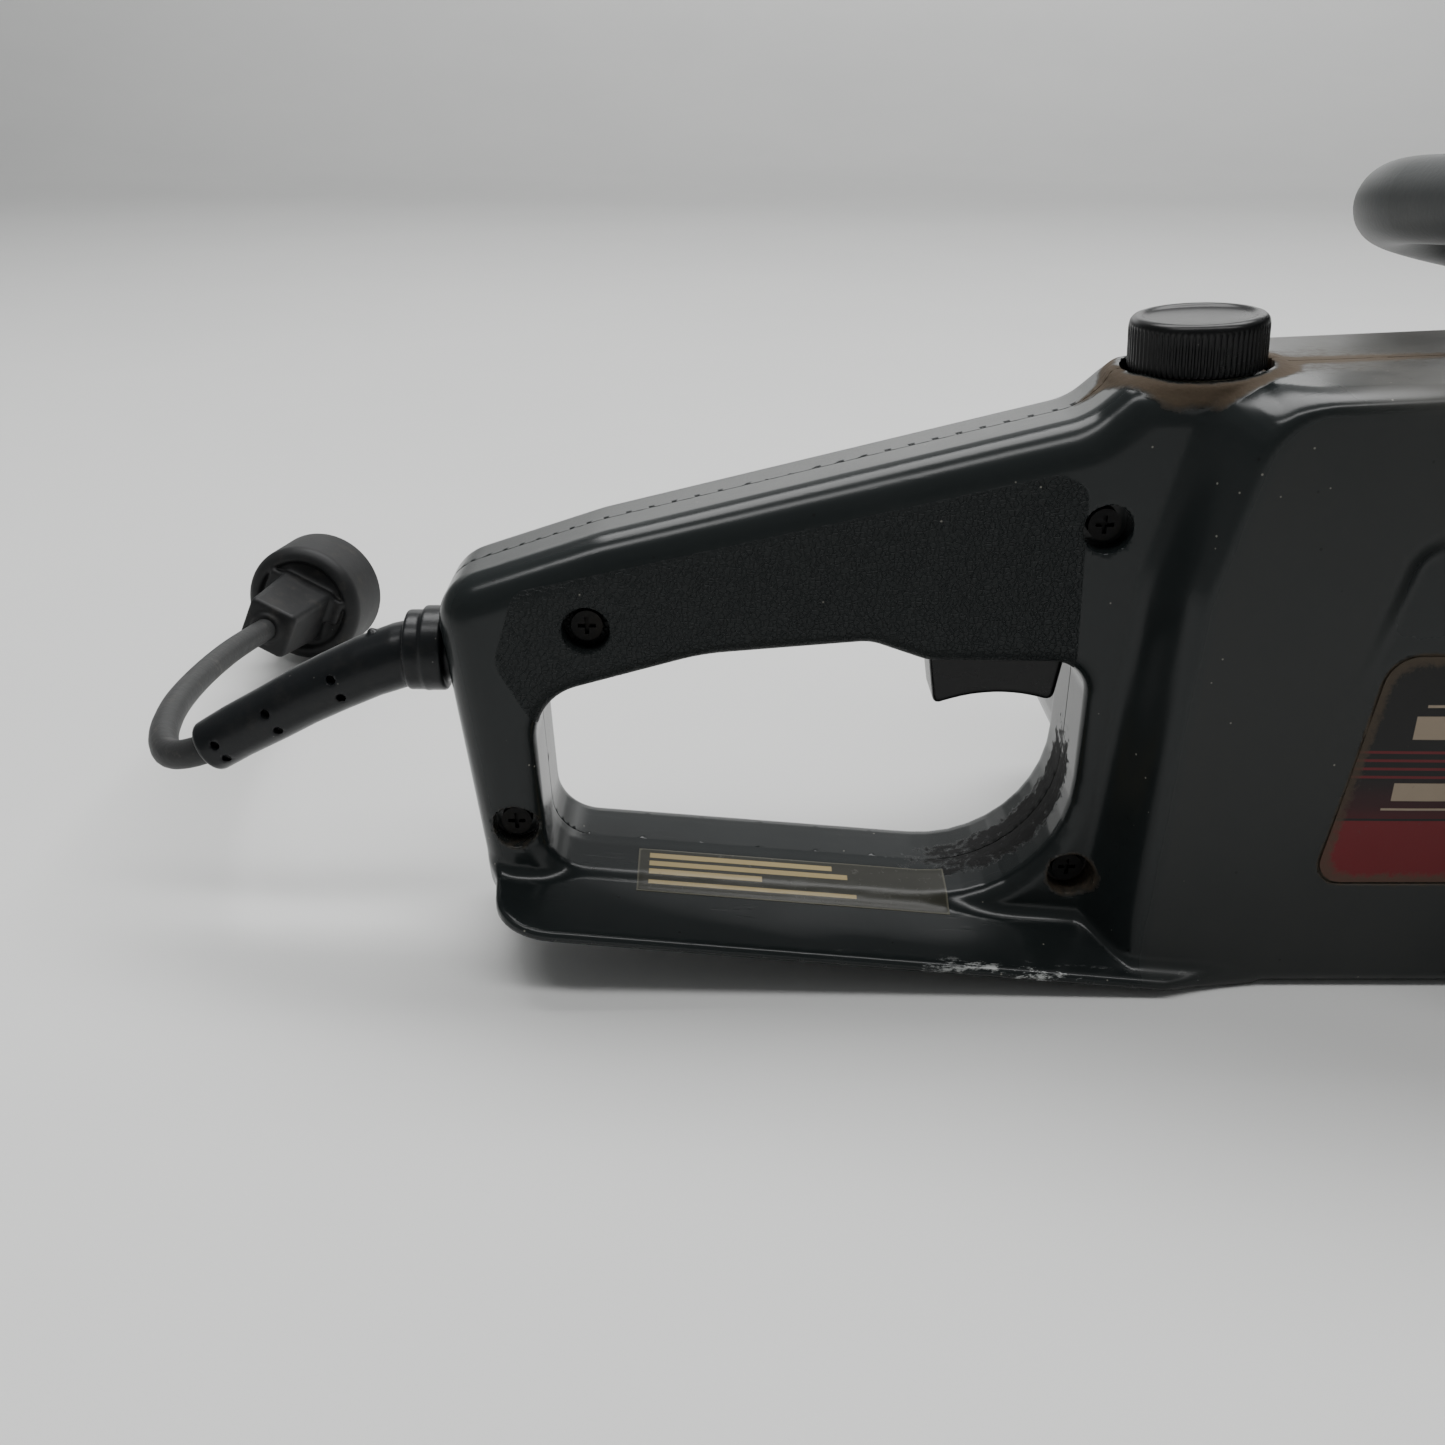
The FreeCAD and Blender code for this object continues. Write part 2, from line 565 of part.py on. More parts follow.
def bumper_spikes():
    """Toothed plate at the front of the body."""
    teeth = [(BODY_FRONT_X + 1, 106, 0), (331, 106, 3), (331, 86, 3), (BODY_FRONT_X, 84, 0),
             (BODY_FRONT_X, 40, 0)]
    for index in range(5):
        base = 44 + index * 13
        teeth += [(BODY_FRONT_X + 5, base - 2, 0.5), (BODY_FRONT_X + 15, base + 4, 0.4),
                  (BODY_FRONT_X + 5, base + 8, 0.5)]
    plate = slab(teeth, -BODY_HALF - 3, -BODY_HALF)
    return plate.cut([rod(PILOT_RADIUS, (x, -45, z), (x, -20, z)) for x, z in SPIKE_SCREWS])


def guard_screws():
    """Pan-head screws of the hand guard's foot and of the bumper plate."""
    top = [join([rod(3.4, (x, y, GUARD_FOOT_TOP), (x, y, GUARD_FOOT_TOP + 2.3)),
                 rod(1.9, (x, y, GUARD_FOOT_TOP - 14.5), (x, y, GUARD_FOOT_TOP))])
           for x, y in GUARD_SCREWS]
    side = [join([rod(3.2, (x, -40.4, z), (x, -38, z)), rod(1.9, (x, -38, z), (x, -24, z))])
            for x, z in SPIKE_SCREWS]
    return top + side


# ---- bar and chain ------------------------------------------------------------------------
def chain_layout():
    """Angle of the sprocket's tangent point, tangent run, and X of the nose centre."""
    reach = math.hypot(CORNER_X - DRIVE_X, NOSE_PITCH_RADIUS)
    bearing = math.atan2(NOSE_PITCH_RADIUS, CORNER_X - DRIVE_X)
    leave = bearing + math.acos(SPROCKET_PITCH_RADIUS / reach)
    run = math.sqrt(reach ** 2 - SPROCKET_PITCH_RADIUS ** 2)
    curved = 2 * (math.pi - leave) * SPROCKET_PITCH_RADIUS + math.pi * NOSE_PITCH_RADIUS
    straight = DRIVE_LINKS * 2 * CHAIN_PITCH - curved - 2 * run
    return leave, run, CORNER_X + straight / 2


CHAIN_LEAVE, CHAIN_RUN, NOSE_X = chain_layout()


def chain_point(distance):
    """Point (x, z) on the chain's pitch line, from the sprocket over the top to the nose."""
    top_straight = NOSE_X - CORNER_X
    nose_arc = math.pi * NOSE_PITCH_RADIUS
    start = V(DRIVE_X + SPROCKET_PITCH_RADIUS * math.cos(CHAIN_LEAVE), 0,
              SPROCKET_PITCH_RADIUS * math.sin(CHAIN_LEAVE))
    corner = V(CORNER_X, 0, NOSE_PITCH_RADIUS)
    travel = distance % (DRIVE_LINKS * 2 * CHAIN_PITCH)
    if travel < CHAIN_RUN:
        spot = start + (corner - start) * (travel / CHAIN_RUN)
        return spot.x, DRIVE_Z + spot.z
    travel -= CHAIN_RUN
    if travel < top_straight:
        return CORNER_X + travel, DRIVE_Z + NOSE_PITCH_RADIUS
    travel -= top_straight
    if travel < nose_arc:
        turn = math.pi / 2 - travel / NOSE_PITCH_RADIUS
        return (NOSE_X + NOSE_PITCH_RADIUS * math.cos(turn),
                DRIVE_Z + NOSE_PITCH_RADIUS * math.sin(turn))
    travel -= nose_arc
    if travel < top_straight:
        return NOSE_X - travel, DRIVE_Z - NOSE_PITCH_RADIUS
    travel -= top_straight
    if travel < CHAIN_RUN:
        spot = corner + (start - corner) * (travel / CHAIN_RUN)
        return spot.x, DRIVE_Z - spot.z
    turn = -CHAIN_LEAVE - (travel - CHAIN_RUN) / SPROCKET_PITCH_RADIUS
    return (DRIVE_X + SPROCKET_PITCH_RADIUS * math.cos(turn),
            DRIVE_Z + SPROCKET_PITCH_RADIUS * math.sin(turn))


def set_on_chain(shape, index):
    """Move a link drawn about the origin so that its rivets fall on the pitch line."""
    ahead = V(*chain_point((index + 1) * CHAIN_PITCH), 0)
    behind = V(*chain_point(index * CHAIN_PITCH), 0)
    middle = (ahead + behind) * 0.5
    turn = math.degrees(math.atan2(ahead.y - behind.y, ahead.x - behind.x))
    moved = shape.copy()
    moved.Placement = FreeCAD.Placement(V(middle.x, BAR_Y, middle.y),
                                        FreeCAD.Rotation(V(0, -1, 0), turn))
    return moved


def drive_link():
    """Link with the tang that runs in the bar groove."""
    half = CHAIN_PITCH / 2
    shape = slab([(-7, -2.4, 0.6), (-7, 1.8, 0.8), (-4, 2.7, 1), (4, 2.7, 1), (7, 1.8, 0.8),
                  (7, -2.4, 0.6), (3.4, -2.6, 0.8), (1.6, -TANG_DEPTH, 0.6),
                  (-0.4, -TANG_DEPTH, 0.6), (-3.4, -2.6, 0.8)], -0.64, 0.64)
    return shape.cut([rod(1.66, (u, -1, 0), (u, 1, 0)) for u in (-half, half)])


def side_link(cutter=0):
    """Two side plates on a pair of rivets; cutter is -1 or +1 for a tooth on that side."""
    half = CHAIN_PITCH / 2
    pieces = [rod(1.6, (u, -2.3, 0), (u, 2.3, 0)) for u in (-half, half)]
    strap = [(-7.3, -2.9, 2.6), (-7.3, 2.7, 2.4), (7.3, 2.7, 2.4), (7.3, -2.9, 2.6)]
    tooth = [(-7.3, -2.9, 1.5), (-7.3, 6.2, 0.6), (-1.6, 7.2, 0.4), (-0.2, 3.0, 1.2),
             (3.0, 2.8, 1.0), (3.6, 6.3, 0.8), (6.6, 5.0, 1.0), (7.3, -2.9, 1.5)]
    for side in (-1, 1):
        low, high = sorted((side * 0.74, side * 1.95))
        pieces.append(slab(tooth if side == cutter else strap, low, high))
    if cutter:
        low, high = sorted((cutter * 3.6, -cutter * 2.2))
        pieces.append(slab([(-7.3, 5.2, 0.2), (-7.3, 6.3, 0.2), (-1.8, 7.3, 0.2),
                            (-1.5, 6.2, 0.2)], low, high))
    return join(pieces)


def saw_chain():
    """The closed loop: drive links with plain links and cutters between."""
    drive = drive_link()
    sides = [side_link(0), side_link(-1), side_link(0), side_link(1)]
    links = []
    for index in range(DRIVE_LINKS):
        links.append(set_on_chain(drive, 2 * index))
        links.append(set_on_chain(sides[index % 4], 2 * index + 1))
    return links


def guide_bar():
    """Bar with its groove, the slot for the studs and the tensioner hole."""
    half = NOSE_PITCH_RADIUS - BAR_INSET
    shape = [(TAIL_X, DRIVE_Z - half, 14), (TAIL_X, DRIVE_Z + half, 14),
             (NOSE_X + half, DRIVE_Z + half, half - 0.01), (NOSE_X + half, DRIVE_Z - half, half - 0.01)]
    y0, y1 = BAR_Y - BAR_THICKNESS / 2, BAR_Y + BAR_THICKNESS / 2
    groove = slab(shape, BAR_Y - 0.75, BAR_Y + 0.75).cut(
        slab(shape, BAR_Y - 2, BAR_Y + 2, TANG_DEPTH - BAR_INSET + 0.8))
    nose_room = rod(17.6, (NOSE_X, BAR_Y - 0.75, DRIVE_Z), (NOSE_X, BAR_Y + 0.75, DRIVE_Z), 6.0)
    slot = slab([(STUD_XS[0] - 7, DRIVE_Z - 4.1, 4.05), (STUD_XS[0] - 7, DRIVE_Z + 4.1, 4.05),
                 (STUD_XS[1] + 7, DRIVE_Z + 4.1, 4.05), (STUD_XS[1] + 7, DRIVE_Z - 4.1, 4.05)],
                BAR_Y - 5, BAR_Y + 5)
    pin_hole = rod(2.1, (TENSION_X, BAR_Y - 5, TENSION_Z), (TENSION_X, BAR_Y + 5, TENSION_Z))
    oil_hole = rod(1.2, (TENSION_X, BAR_Y, 2 * DRIVE_Z - TENSION_Z),
                   (TENSION_X, BAR_Y + 5, 2 * DRIVE_Z - TENSION_Z))
    return slab(shape, y0, y1).cut([groove, nose_room, slot, pin_hole, oil_hole])


def nose_sprocket():
    """Toothed wheel in the nose of the bar."""
    wheel = ring_of_teeth(NOSE_X, DRIVE_Z, BAR_Y - 0.62, BAR_Y + 0.62, NOSE_TEETH, 12.5, 17.2, 0.9)
    return wheel.cut(rod(6.0 + FIT, (NOSE_X, BAR_Y - 3, DRIVE_Z), (NOSE_X, BAR_Y + 3, DRIVE_Z)))


def tension_block():
    """Sliding block whose pin sits in the bar."""
    lump = block(TENSION_X - 3.5, TENSION_X + 3.5, BAR_Y + BAR_THICKNESS / 2, -36.7,
                 TENSION_Z - 3.4, TENSION_Z + 3.4)
    pin = rod(2.0, (TENSION_X, BAR_Y - 1.5, TENSION_Z), (TENSION_X, -42, TENSION_Z))
    return join([lump, pin]).cut(rod(1.9, (TENSION_X - 9, TENSION_Y, TENSION_Z),
                                     (TENSION_X + 9, TENSION_Y, TENSION_Z)))


def tension_screw():
    """Slotted screw that moves the block, reached from the front."""
    shank = rod(1.9, (TENSION_X - 8, TENSION_Y, TENSION_Z), (BODY_FRONT_X, TENSION_Y, TENSION_Z))
    head = rod(2.3, (BODY_FRONT_X - 2, TENSION_Y, TENSION_Z),
               (BODY_FRONT_X + 1, TENSION_Y, TENSION_Z))
    slot = block(BODY_FRONT_X, BODY_FRONT_X + 2, TENSION_Y - 4, TENSION_Y + 4,
                 TENSION_Z - 0.5, TENSION_Z + 0.5)
    return join([shank, head]).cut(slot)


# ---- motor and gears ----------------------------------------------------------------------
def motor_rod(radius, y0, y1, bore=0.0):
    """Cylinder on the motor axis."""
    return rod(radius, (MOTOR_X, y0, MOTOR_Z), (MOTOR_X, y1, MOTOR_Z), bore)


def drive_rod(radius, y0, y1, bore=0.0):
    """Cylinder on the output axis."""
    return rod(radius, (DRIVE_X, y0, DRIVE_Z), (DRIVE_X, y1, DRIVE_Z), bore)


def bearing(rod_of, y0):
    """Sealed ball bearing: a ring with a shallow shield groove in each face."""
    ring = rod_of(BEARING_RADIUS, y0, y0 + BEARING_WIDTH, SHAFT_RADIUS + FIT)
    return ring.cut([rod_of(9.2, y0 - 1, y0 + 0.5, 5.6),
                     rod_of(9.2, y0 + BEARING_WIDTH - 0.5, y0 + BEARING_WIDTH + 1, 5.6)])


def armature_core():
    """Stack of laminations with twelve winding slots."""
    slots = []
    for index in range(12):
        slot = block(MOTOR_X + 15, MOTOR_X + 22, 10, 60, MOTOR_Z - 2.2, MOTOR_Z + 2.2)
        mouth = block(MOTOR_X + 20, MOTOR_X + 26, 10, 60, MOTOR_Z - 0.9, MOTOR_Z + 0.9)
        for piece in (slot, mouth):
            piece.rotate(V(MOTOR_X, 0, MOTOR_Z), V(0, 1, 0), index * 30)
            slots.append(piece)
    return motor_rod(23.5, 18, 56, SHAFT_BORE).cut(slots)


def armature_windings():
    """End turns of the winding, one ring at each end of the core."""
    return [motor_rod(19.5, 12.5, 18, SHAFT_BORE), motor_rod(19.5, 56, 61.5, SHAFT_BORE)]


def commutator():
    """Copper drum with its segments marked by grooves."""
    grooves = []
    for index in range(24):
        groove = block(MOTOR_X + 10.8, MOTOR_X + 13, 62, 76, MOTOR_Z - 0.3, MOTOR_Z + 0.3)
        groove.rotate(V(MOTOR_X, 0, MOTOR_Z), V(0, 1, 0), index * 15)
        grooves.append(groove)
    return motor_rod(12, 62.5, 75.5, SHAFT_BORE).cut(grooves)


def motor_fan():
    """Fan with twelve straight blades on a disc."""
    hub = motor_rod(9, 1.5, 10.5, SHAFT_BORE)
    plate = motor_rod(33, 1.5, 3.2, SHAFT_BORE)
    blades = []
    for index in range(12):
        blade = block(MOTOR_X + 8, MOTOR_X + 33, 3, 10.5, MOTOR_Z - 0.8, MOTOR_Z + 0.8)
        blade.rotate(V(MOTOR_X, 0, MOTOR_Z), V(0, 1, 0), index * 30)
        blades.append(blade)
    return join([hub, plate] + blades).cut(motor_rod(SHAFT_BORE, 0, 12))


def field_core():
    """Ring of the field with its two poles."""
    ring = motor_rod(41, 18, 56, 36.5)
    poles = [sector(MOTOR_X, MOTOR_Z, 24.3, 37, angle - 27, angle + 27, 18, 56)
             for angle in (90, 270)]
    return join([ring] + poles)


def field_coils():
    """One frame-shaped coil round each pole."""
    coils = []
    for angle in (90, 270):
        frame = sector(MOTOR_X, MOTOR_Z, 26, 35.8, angle - 50, angle + 50, 13, 61)
        room = sector(MOTOR_X, MOTOR_Z, 20, 40, angle - 28.2, angle + 28.2, 17.5, 56.5)
        coils.append(frame.cut(room))
    return coils


def end_bracket():
    """Carrier of the motor's outer bearing, with two legs that reach back to the gear case."""
    ring = motor_rod(15, 79, BULGE_OUTER - WALL)
    arms = block(MOTOR_X - 44.5, MOTOR_X + 44.5, 84, 88, MOTOR_Z - 7, MOTOR_Z + 7)
    legs = [sector(MOTOR_X, MOTOR_Z, 41.1, 45, angle - 10, angle + 10, -1, 88)
            for angle in (0, 180)]
    return join([ring, arms] + legs).cut([motor_rod(BEARING_RADIUS, 80, 87),
                                          motor_rod(6, 78, 89)])


def brush_parts():
    """Holders, carbon brushes and springs, one of each on both sides of the commutator."""
    holders, brushes, springs = [], [], []
    for side in (-1, 1):
        def span(near, far):
            return sorted((MOTOR_X + side * near, MOTOR_X + side * far))
        x0, x1 = span(14, 35)
        holder = block(x0, x1, 64.5, 73.5, MOTOR_Z - 4.5, MOTOR_Z + 4.5)
        x0, x1 = span(13, 33.5)
        holders.append(holder.cut(block(x0, x1, 66, 72, MOTOR_Z - 3, MOTOR_Z + 3)))
        x0, x1 = span(11.8, 23.5)
        brush = block(x0, x1, 66.05, 71.95, MOTOR_Z - 2.95, MOTOR_Z + 2.95)
        brushes.append(brush.cut(motor_rod(12 + FIT, 60, 78)))
        springs.append(coil_spring(2.2, 0.3, 9.2, 6, (MOTOR_X + side * 23.9, 69, MOTOR_Z),
                                   (side, 0, 0)))
    return holders, brushes, springs


def pinion():
    """Small gear on the armature shaft."""
    radius = MODULE * PINION_TEETH / 2
    wheel = ring_of_teeth(MOTOR_X, MOTOR_Z, -23, -12, PINION_TEETH, radius - 1.9, radius + 1.1,
                          0.6, LINE_OF_CENTRES)
    return wheel.cut(motor_rod(SHAFT_BORE, -30, 0))


def drive_gear():
    """Large gear, dished and pierced."""
    radius = MODULE * GEAR_TEETH / 2
    phase = LINE_OF_CENTRES + math.pi + math.pi / GEAR_TEETH
    wheel = ring_of_teeth(DRIVE_X, DRIVE_Z, -22, -13, GEAR_TEETH, radius - 1.9, radius + 1.1,
                          0.6, phase)
    dish = drive_rod(31, -23, -20, 12)
    holes = []
    for index in range(5):
        hole = rod(5, (DRIVE_X + 21.5, -30, DRIVE_Z), (DRIVE_X + 21.5, 0, DRIVE_Z))
        hole.rotate(V(DRIVE_X, 0, DRIVE_Z), V(0, 1, 0), index * 72)
        holes.append(hole)
    return wheel.cut([dish, drive_rod(SHAFT_BORE, -30, 0)] + holes)


def drive_sprocket():
    """Sprocket that drives the chain, with its hub."""
    wheel = ring_of_teeth(DRIVE_X, DRIVE_Z, BAR_Y - 2.5, BAR_Y + 2.5, SPROCKET_POCKETS,
                          9.4, 11.9, 0.8)
    hub = drive_rod(8.4, BAR_Y - 4.5, BAR_Y + 6)
    return join([wheel, hub]).cut(drive_rod(SHAFT_BORE, -60, -30))


def gear_case():
    """Plate and rim that carry both shafts."""
    plate = slab(CASE_OUTLINE, -11, -1)
    rim = slab(CASE_OUTLINE, -24.5, -11).cut(slab(CASE_OUTLINE, -24.5, -11, WALL))
    return join([plate, rim]).cut([
        drive_rod(BEARING_RADIUS, -11, -4), drive_rod(6, -5, 0),
        motor_rod(BEARING_RADIUS, -11, -4), motor_rod(6, -5, 0)] + case_holes())


def case_holes():
    """Holes of the four case screws."""
    return [rod(1.5, (x, -40, z), (x, 0, z)) for x, z in CASE_SCREWS]


def gear_cover():
    """Outer plate of the gear case."""
    return slab(CASE_OUTLINE, -31.5, -24.5).cut(
        [drive_rod(BEARING_RADIUS, -31.5, -24.5), drive_rod(5, -32, -20)] + case_holes())


def gear_case_screws():
    """Four long screws through cover and case."""
    screws = []
    for x, z in CASE_SCREWS:
        screws.append(rod(1.5, (x, -31.4, z), (x, -2, z)))
    return screws


# ---- oil system -----------------------------------------------------------------------------
def oil_tank():
    """Tank under the filler cap."""
    wide = block(127.5, 148, -31, 31, 38, TANK_TOP)
    narrow = block(99, 128, -15.5, 15.5, 38, TANK_TOP)
    neck = along_cap(12.4, -22, 0)
    outer = join([wide, narrow, neck])
    inner = join([block(129.5, 146, -29, 29, 40, TANK_TOP - 2),
                  block(101, 130, -13.5, 13.5, 40, TANK_TOP - 2), along_cap(10.2, -24, 1)])
    outlet = rod(2.4, (140, -29.6, 44), (140, -18, 44))
    return outer.cut([inner, outlet])


def oil_cap():
    """Filler cap with a hollow plug and a dished top."""
    knob = along_cap(CAP_RADIUS, 0.4, CAP_HEIGHT)
    top_rim = [edge for edge in knob.Edges if edge.BoundBox.ZMin > COLLAR_TOP + CAP_HEIGHT - 3]
    knob = knob.makeFillet(1.2, top_rim)
    plug = along_cap(10.1, -11, 2).cut(along_cap(7.5, -12, 0))
    seal_room = along_cap(12.7, 0, 1.8).cut(along_cap(10.1, -1, 2))
    dish = along_cap(12.6, CAP_HEIGHT - 0.8, CAP_HEIGHT + 1)
    return join([knob, plug]).cut([seal_room, dish])


def cap_seal():
    """Flat ring under the cap."""
    return along_cap(12.3, 0, 1.8).cut(along_cap(10.15, -1, 3))


def oil_pump():
    """Pump body with its lug."""
    housing = slab([(300, 30, 3), (300, 52, 3), (322, 52, 3), (322, 30, 3)], -30, -14)
    lug = rod(4, (327, -32, 36), (327, -14, 36))
    return join([housing, lug, block(320, 328, -32, -14, 33, 39)])


def oil_line():
    """Hose from below the tank, along the floor of the body, to the pump."""
    return tube(OIL_LINE, 2.4, 1.2).cut(oil_pump())


# ---- switch, trigger and cord ---------------------------------------------------------------
def trigger():
    """Trigger with a concave finger face."""
    x, z = TRIGGER_PIVOT
    body = slab([(50, 93.5, 1), (64, 93.5, 4), (76, 102, 4), (88, 102, 5), (87.5, 88, 5),
                 (84.5, 68.3, 2), (69.5, 72.3, 40), (54, 67.4, 1.4), (53, 74, 8),
                 (51, 88, 2)], -TRIGGER_HALF, TRIGGER_HALF)
    body = round_rims(body, 0.9, -TRIGGER_HALF, TRIGGER_HALF)
    return body.cut(rod(2 + FIT, (x, -20, z), (x, 20, z)))


def trigger_pin():
    """Pin the trigger turns on."""
    x, z = TRIGGER_PIVOT
    return rod(2.0, (x, -12.4, z), (x, 12.4, z))


def switch_body():
    """Switch with a lug at its rear."""
    box = block(*SWITCH_BOX)
    lug = block(24, 28, -5, 5, 110, 116)
    return join([box, lug]).cut(rod(2.1, (PLUNGER_X, 0, 98), (PLUNGER_X, 0, 113)))


def switch_plunger():
    """Plunger with a bore for its spring, open at the top."""
    bore = rod(1.35, (PLUNGER_X, 0, 97), (PLUNGER_X, 0, 109))
    return rod(2.0, (PLUNGER_X, 0, 93.8), (PLUNGER_X, 0, 108)).cut(bore)


def lock_button():
    """Lock-off button with a flange inside the wall."""
    stem = rod(4.8, (LOCK_X, 9, LOCK_Z), (LOCK_X, HANDLE_HALF + 3.5, LOCK_Z))
    flange = rod(6.4, (LOCK_X, 9, LOCK_Z), (LOCK_X, 11.5, LOCK_Z))
    return join([stem, flange]).cut(rod(3.3, (LOCK_X, 8, LOCK_Z), (LOCK_X, 18.5, LOCK_Z)))


def return_springs():
    """Springs of the switch plunger, which also returns the trigger, and of the lock button."""
    return [coil_spring(0.9, 0.2, 11.2, 9, (PLUNGER_X, 0, 101.5), (0, 0, 1)),
            coil_spring(2.4, 0.35, 14.0, 7, (LOCK_X, 0.2, LOCK_Z), (0, 1, 0))]


def boot_sleeve():
    """Rubber strain relief: a curved sleeve, a collar outside the wall and a flange inside."""
    sleeve = tube(BOOT_ROUTE + [(-71.0, 0.0, 80.6)], 8.2)
    collar = rod(10.4, (-79.5, 0, 79.9), (-69.9, 0, BOOT_HOLE_Z)).cut(outer_form())
    neck = rod(7.1, (-75, 0, BOOT_HOLE_Z), (-62.5, 0, BOOT_HOLE_Z))
    flange = rod(9.2, (-64.3, 0, BOOT_HOLE_Z), (-62.5, 0, BOOT_HOLE_Z))
    return join([sleeve, collar, neck, flange]).cut(tube(INNER_CORD, CORD_DIAMETER / 2 + FIT))


def cord_clamp():
    """Bar that presses the cord down between two posts."""
    bar = block(CLAMP_X - 4, CLAMP_X + 4, -12.5, 12.5, 86, 91.5)
    holes = [rod(1.55, (CLAMP_X, y, 70), (CLAMP_X, y, 95)) for y in CLAMP_SCREW_YS]
    return bar.cut([tube(INNER_CORD, CORD_DIAMETER / 2 + FIT)] + holes)


def clamp_screws():
    """Two screws of the cord clamp."""
    return [join([rod(1.5, (CLAMP_X, y, 80), (CLAMP_X, y, 91.5)),
                  rod(2.8, (CLAMP_X, y, 91.5), (CLAMP_X, y, 93))]) for y in CLAMP_SCREW_YS]


def switch_leads():
    """Two cores of the cord, under the rear screw's post to the back of the switch."""
    return [tube([(-40.9, y, 84.6), (-27, y, 84), (-14, 1.6 * y, 94), (4, 2 * y, 102),
                  (28, 2 * y, 107)], 1.1).cut(block(*SWITCH_BOX)) for y in (-1.9, 1.9)]


def motor_leads():
    """Two wires from the front of the switch, over the tank and down to the brush holders."""
    left = [(62, 4, 112), (70, 4.5, 121.5), (82, 8, 130), (94, 13.9, 137), (104, 13.9, 139.5),
            (128, 13.9, 138.5), (156, 16, 134), (161, 28, 117), (167, 50, 111), (175, 66, 104),
            (181, 69, 94), (181, 69, 82.5)]
    right = [(62, -4, 112), (70, -4.5, 121.5), (82, -8, 130), (94, -13.9, 137),
             (104, -13.9, 139.5), (128, -13.9, 138.5), (152, -4, 137), (160, 22, 122),
             (182, 48, 122), (206, 66, 119), (222, 69, 112), (229, 69, 98), (229, 69, 82.5)]
    return [tube(route, 1.1).cut(block(*SWITCH_BOX)) for route in (left, right)]


def power_cord():
    """Free cord between the end of the boot and the plug."""
    cord = tube(CORD_ROUTE, CORD_DIAMETER / 2, report="power_cord")
    return cord.cut([tube(INNER_CORD, CORD_DIAMETER / 2), plug_body()])


def plug_point(distance):
    """Point on the plug axis, measured from the end of the cord."""
    return V(*CORD_ROUTE[-1]) + PLUG_AXIS * distance


def plug_turn():
    """Turn from +Y to the plug axis."""
    return FreeCAD.Rotation(V(0, 1, 0), PLUG_AXIS)


def plug_body():
    """Square grip on the cord side and a deep round face that carries the blades."""
    grip = slab([(-9, -9, 2.5), (-9, 9, 2.5), (9, 9, 2.5), (9, -9, 2.5)], 0, GRIP_LENGTH + 1)
    grip.rotate(V(0, 0, 0), V(0, 1, 0), 25)
    disc = rod(PLUG_RADIUS, (0, GRIP_LENGTH, 0), (0, GRIP_LENGTH + PLUG_DEPTH, 0))
    disc = round_rims(disc, 3.0, GRIP_LENGTH)
    disc = round_rims(disc, 1.0, GRIP_LENGTH + PLUG_DEPTH)
    body = join([grip, disc])
    face_y = GRIP_LENGTH + PLUG_DEPTH
    body = body.cut([block(x - 0.75, x + 0.75, face_y - 4, face_y + 1, -3.2, 3.2)
                     for x in BLADE_XS])
    body.Placement = FreeCAD.Placement(V(*CORD_ROUTE[-1]), plug_turn())
    return body


def plug_blades():
    """Two flat blades with the usual small holes."""
    blades = []
    face_y = GRIP_LENGTH + PLUG_DEPTH
    for x in BLADE_XS:
        blade = block(x - 0.75, x + 0.75, face_y - 4, face_y + 17, -3.2, 3.2)
        blade = blade.cut(rod(1.6, (x - 2, face_y + 12, 0), (x + 2, face_y + 12, 0)))
        blade.Placement = FreeCAD.Placement(V(*CORD_ROUTE[-1]), plug_turn())
        blades.append(blade)
    return blades


def side_label():
    """Label plate that fills the shallow recess in the right side."""
    return slab(LABEL_OUTLINE, -BODY_HALF, -BODY_HALF + LABEL_DEPTH, 0.25)


def label_slope(height, margin=0.0):
    """Prism of a given height that stands on the guard's slope inside the lower label's limits."""
    x0, x1, y0, y1 = LOWER_LABEL
    y0, y1 = y0 - margin, y1 + margin
    sections = []
    for x in (x0 - margin, x1 + margin):
        near, far = guard_top(x, y0), guard_top(x, y1)
        sections.append(outline([(y0, near, 0), (y1, far, 0), (y1, far + height, 0),
                                 (y0, near + height, 0)], plane_x(x)))
    return Part.makeLoft(sections, True, True)


# ---- the whole saw -----------------------------------------------------------------------
def sprocket_clip():
    """Retaining ring outside the drive sprocket."""
    return drive_rod(6.6, BAR_Y - 6, BAR_Y - 4.6, SHAFT_BORE)


def output_bearings():
    """Bearings of the output shaft."""
    return [bearing(drive_rod, -31.5), bearing(drive_rod, -11)]


def motor_bearings():
    """Bearings of the armature shaft."""
    return [bearing(motor_rod, -11), bearing(motor_rod, 80)]


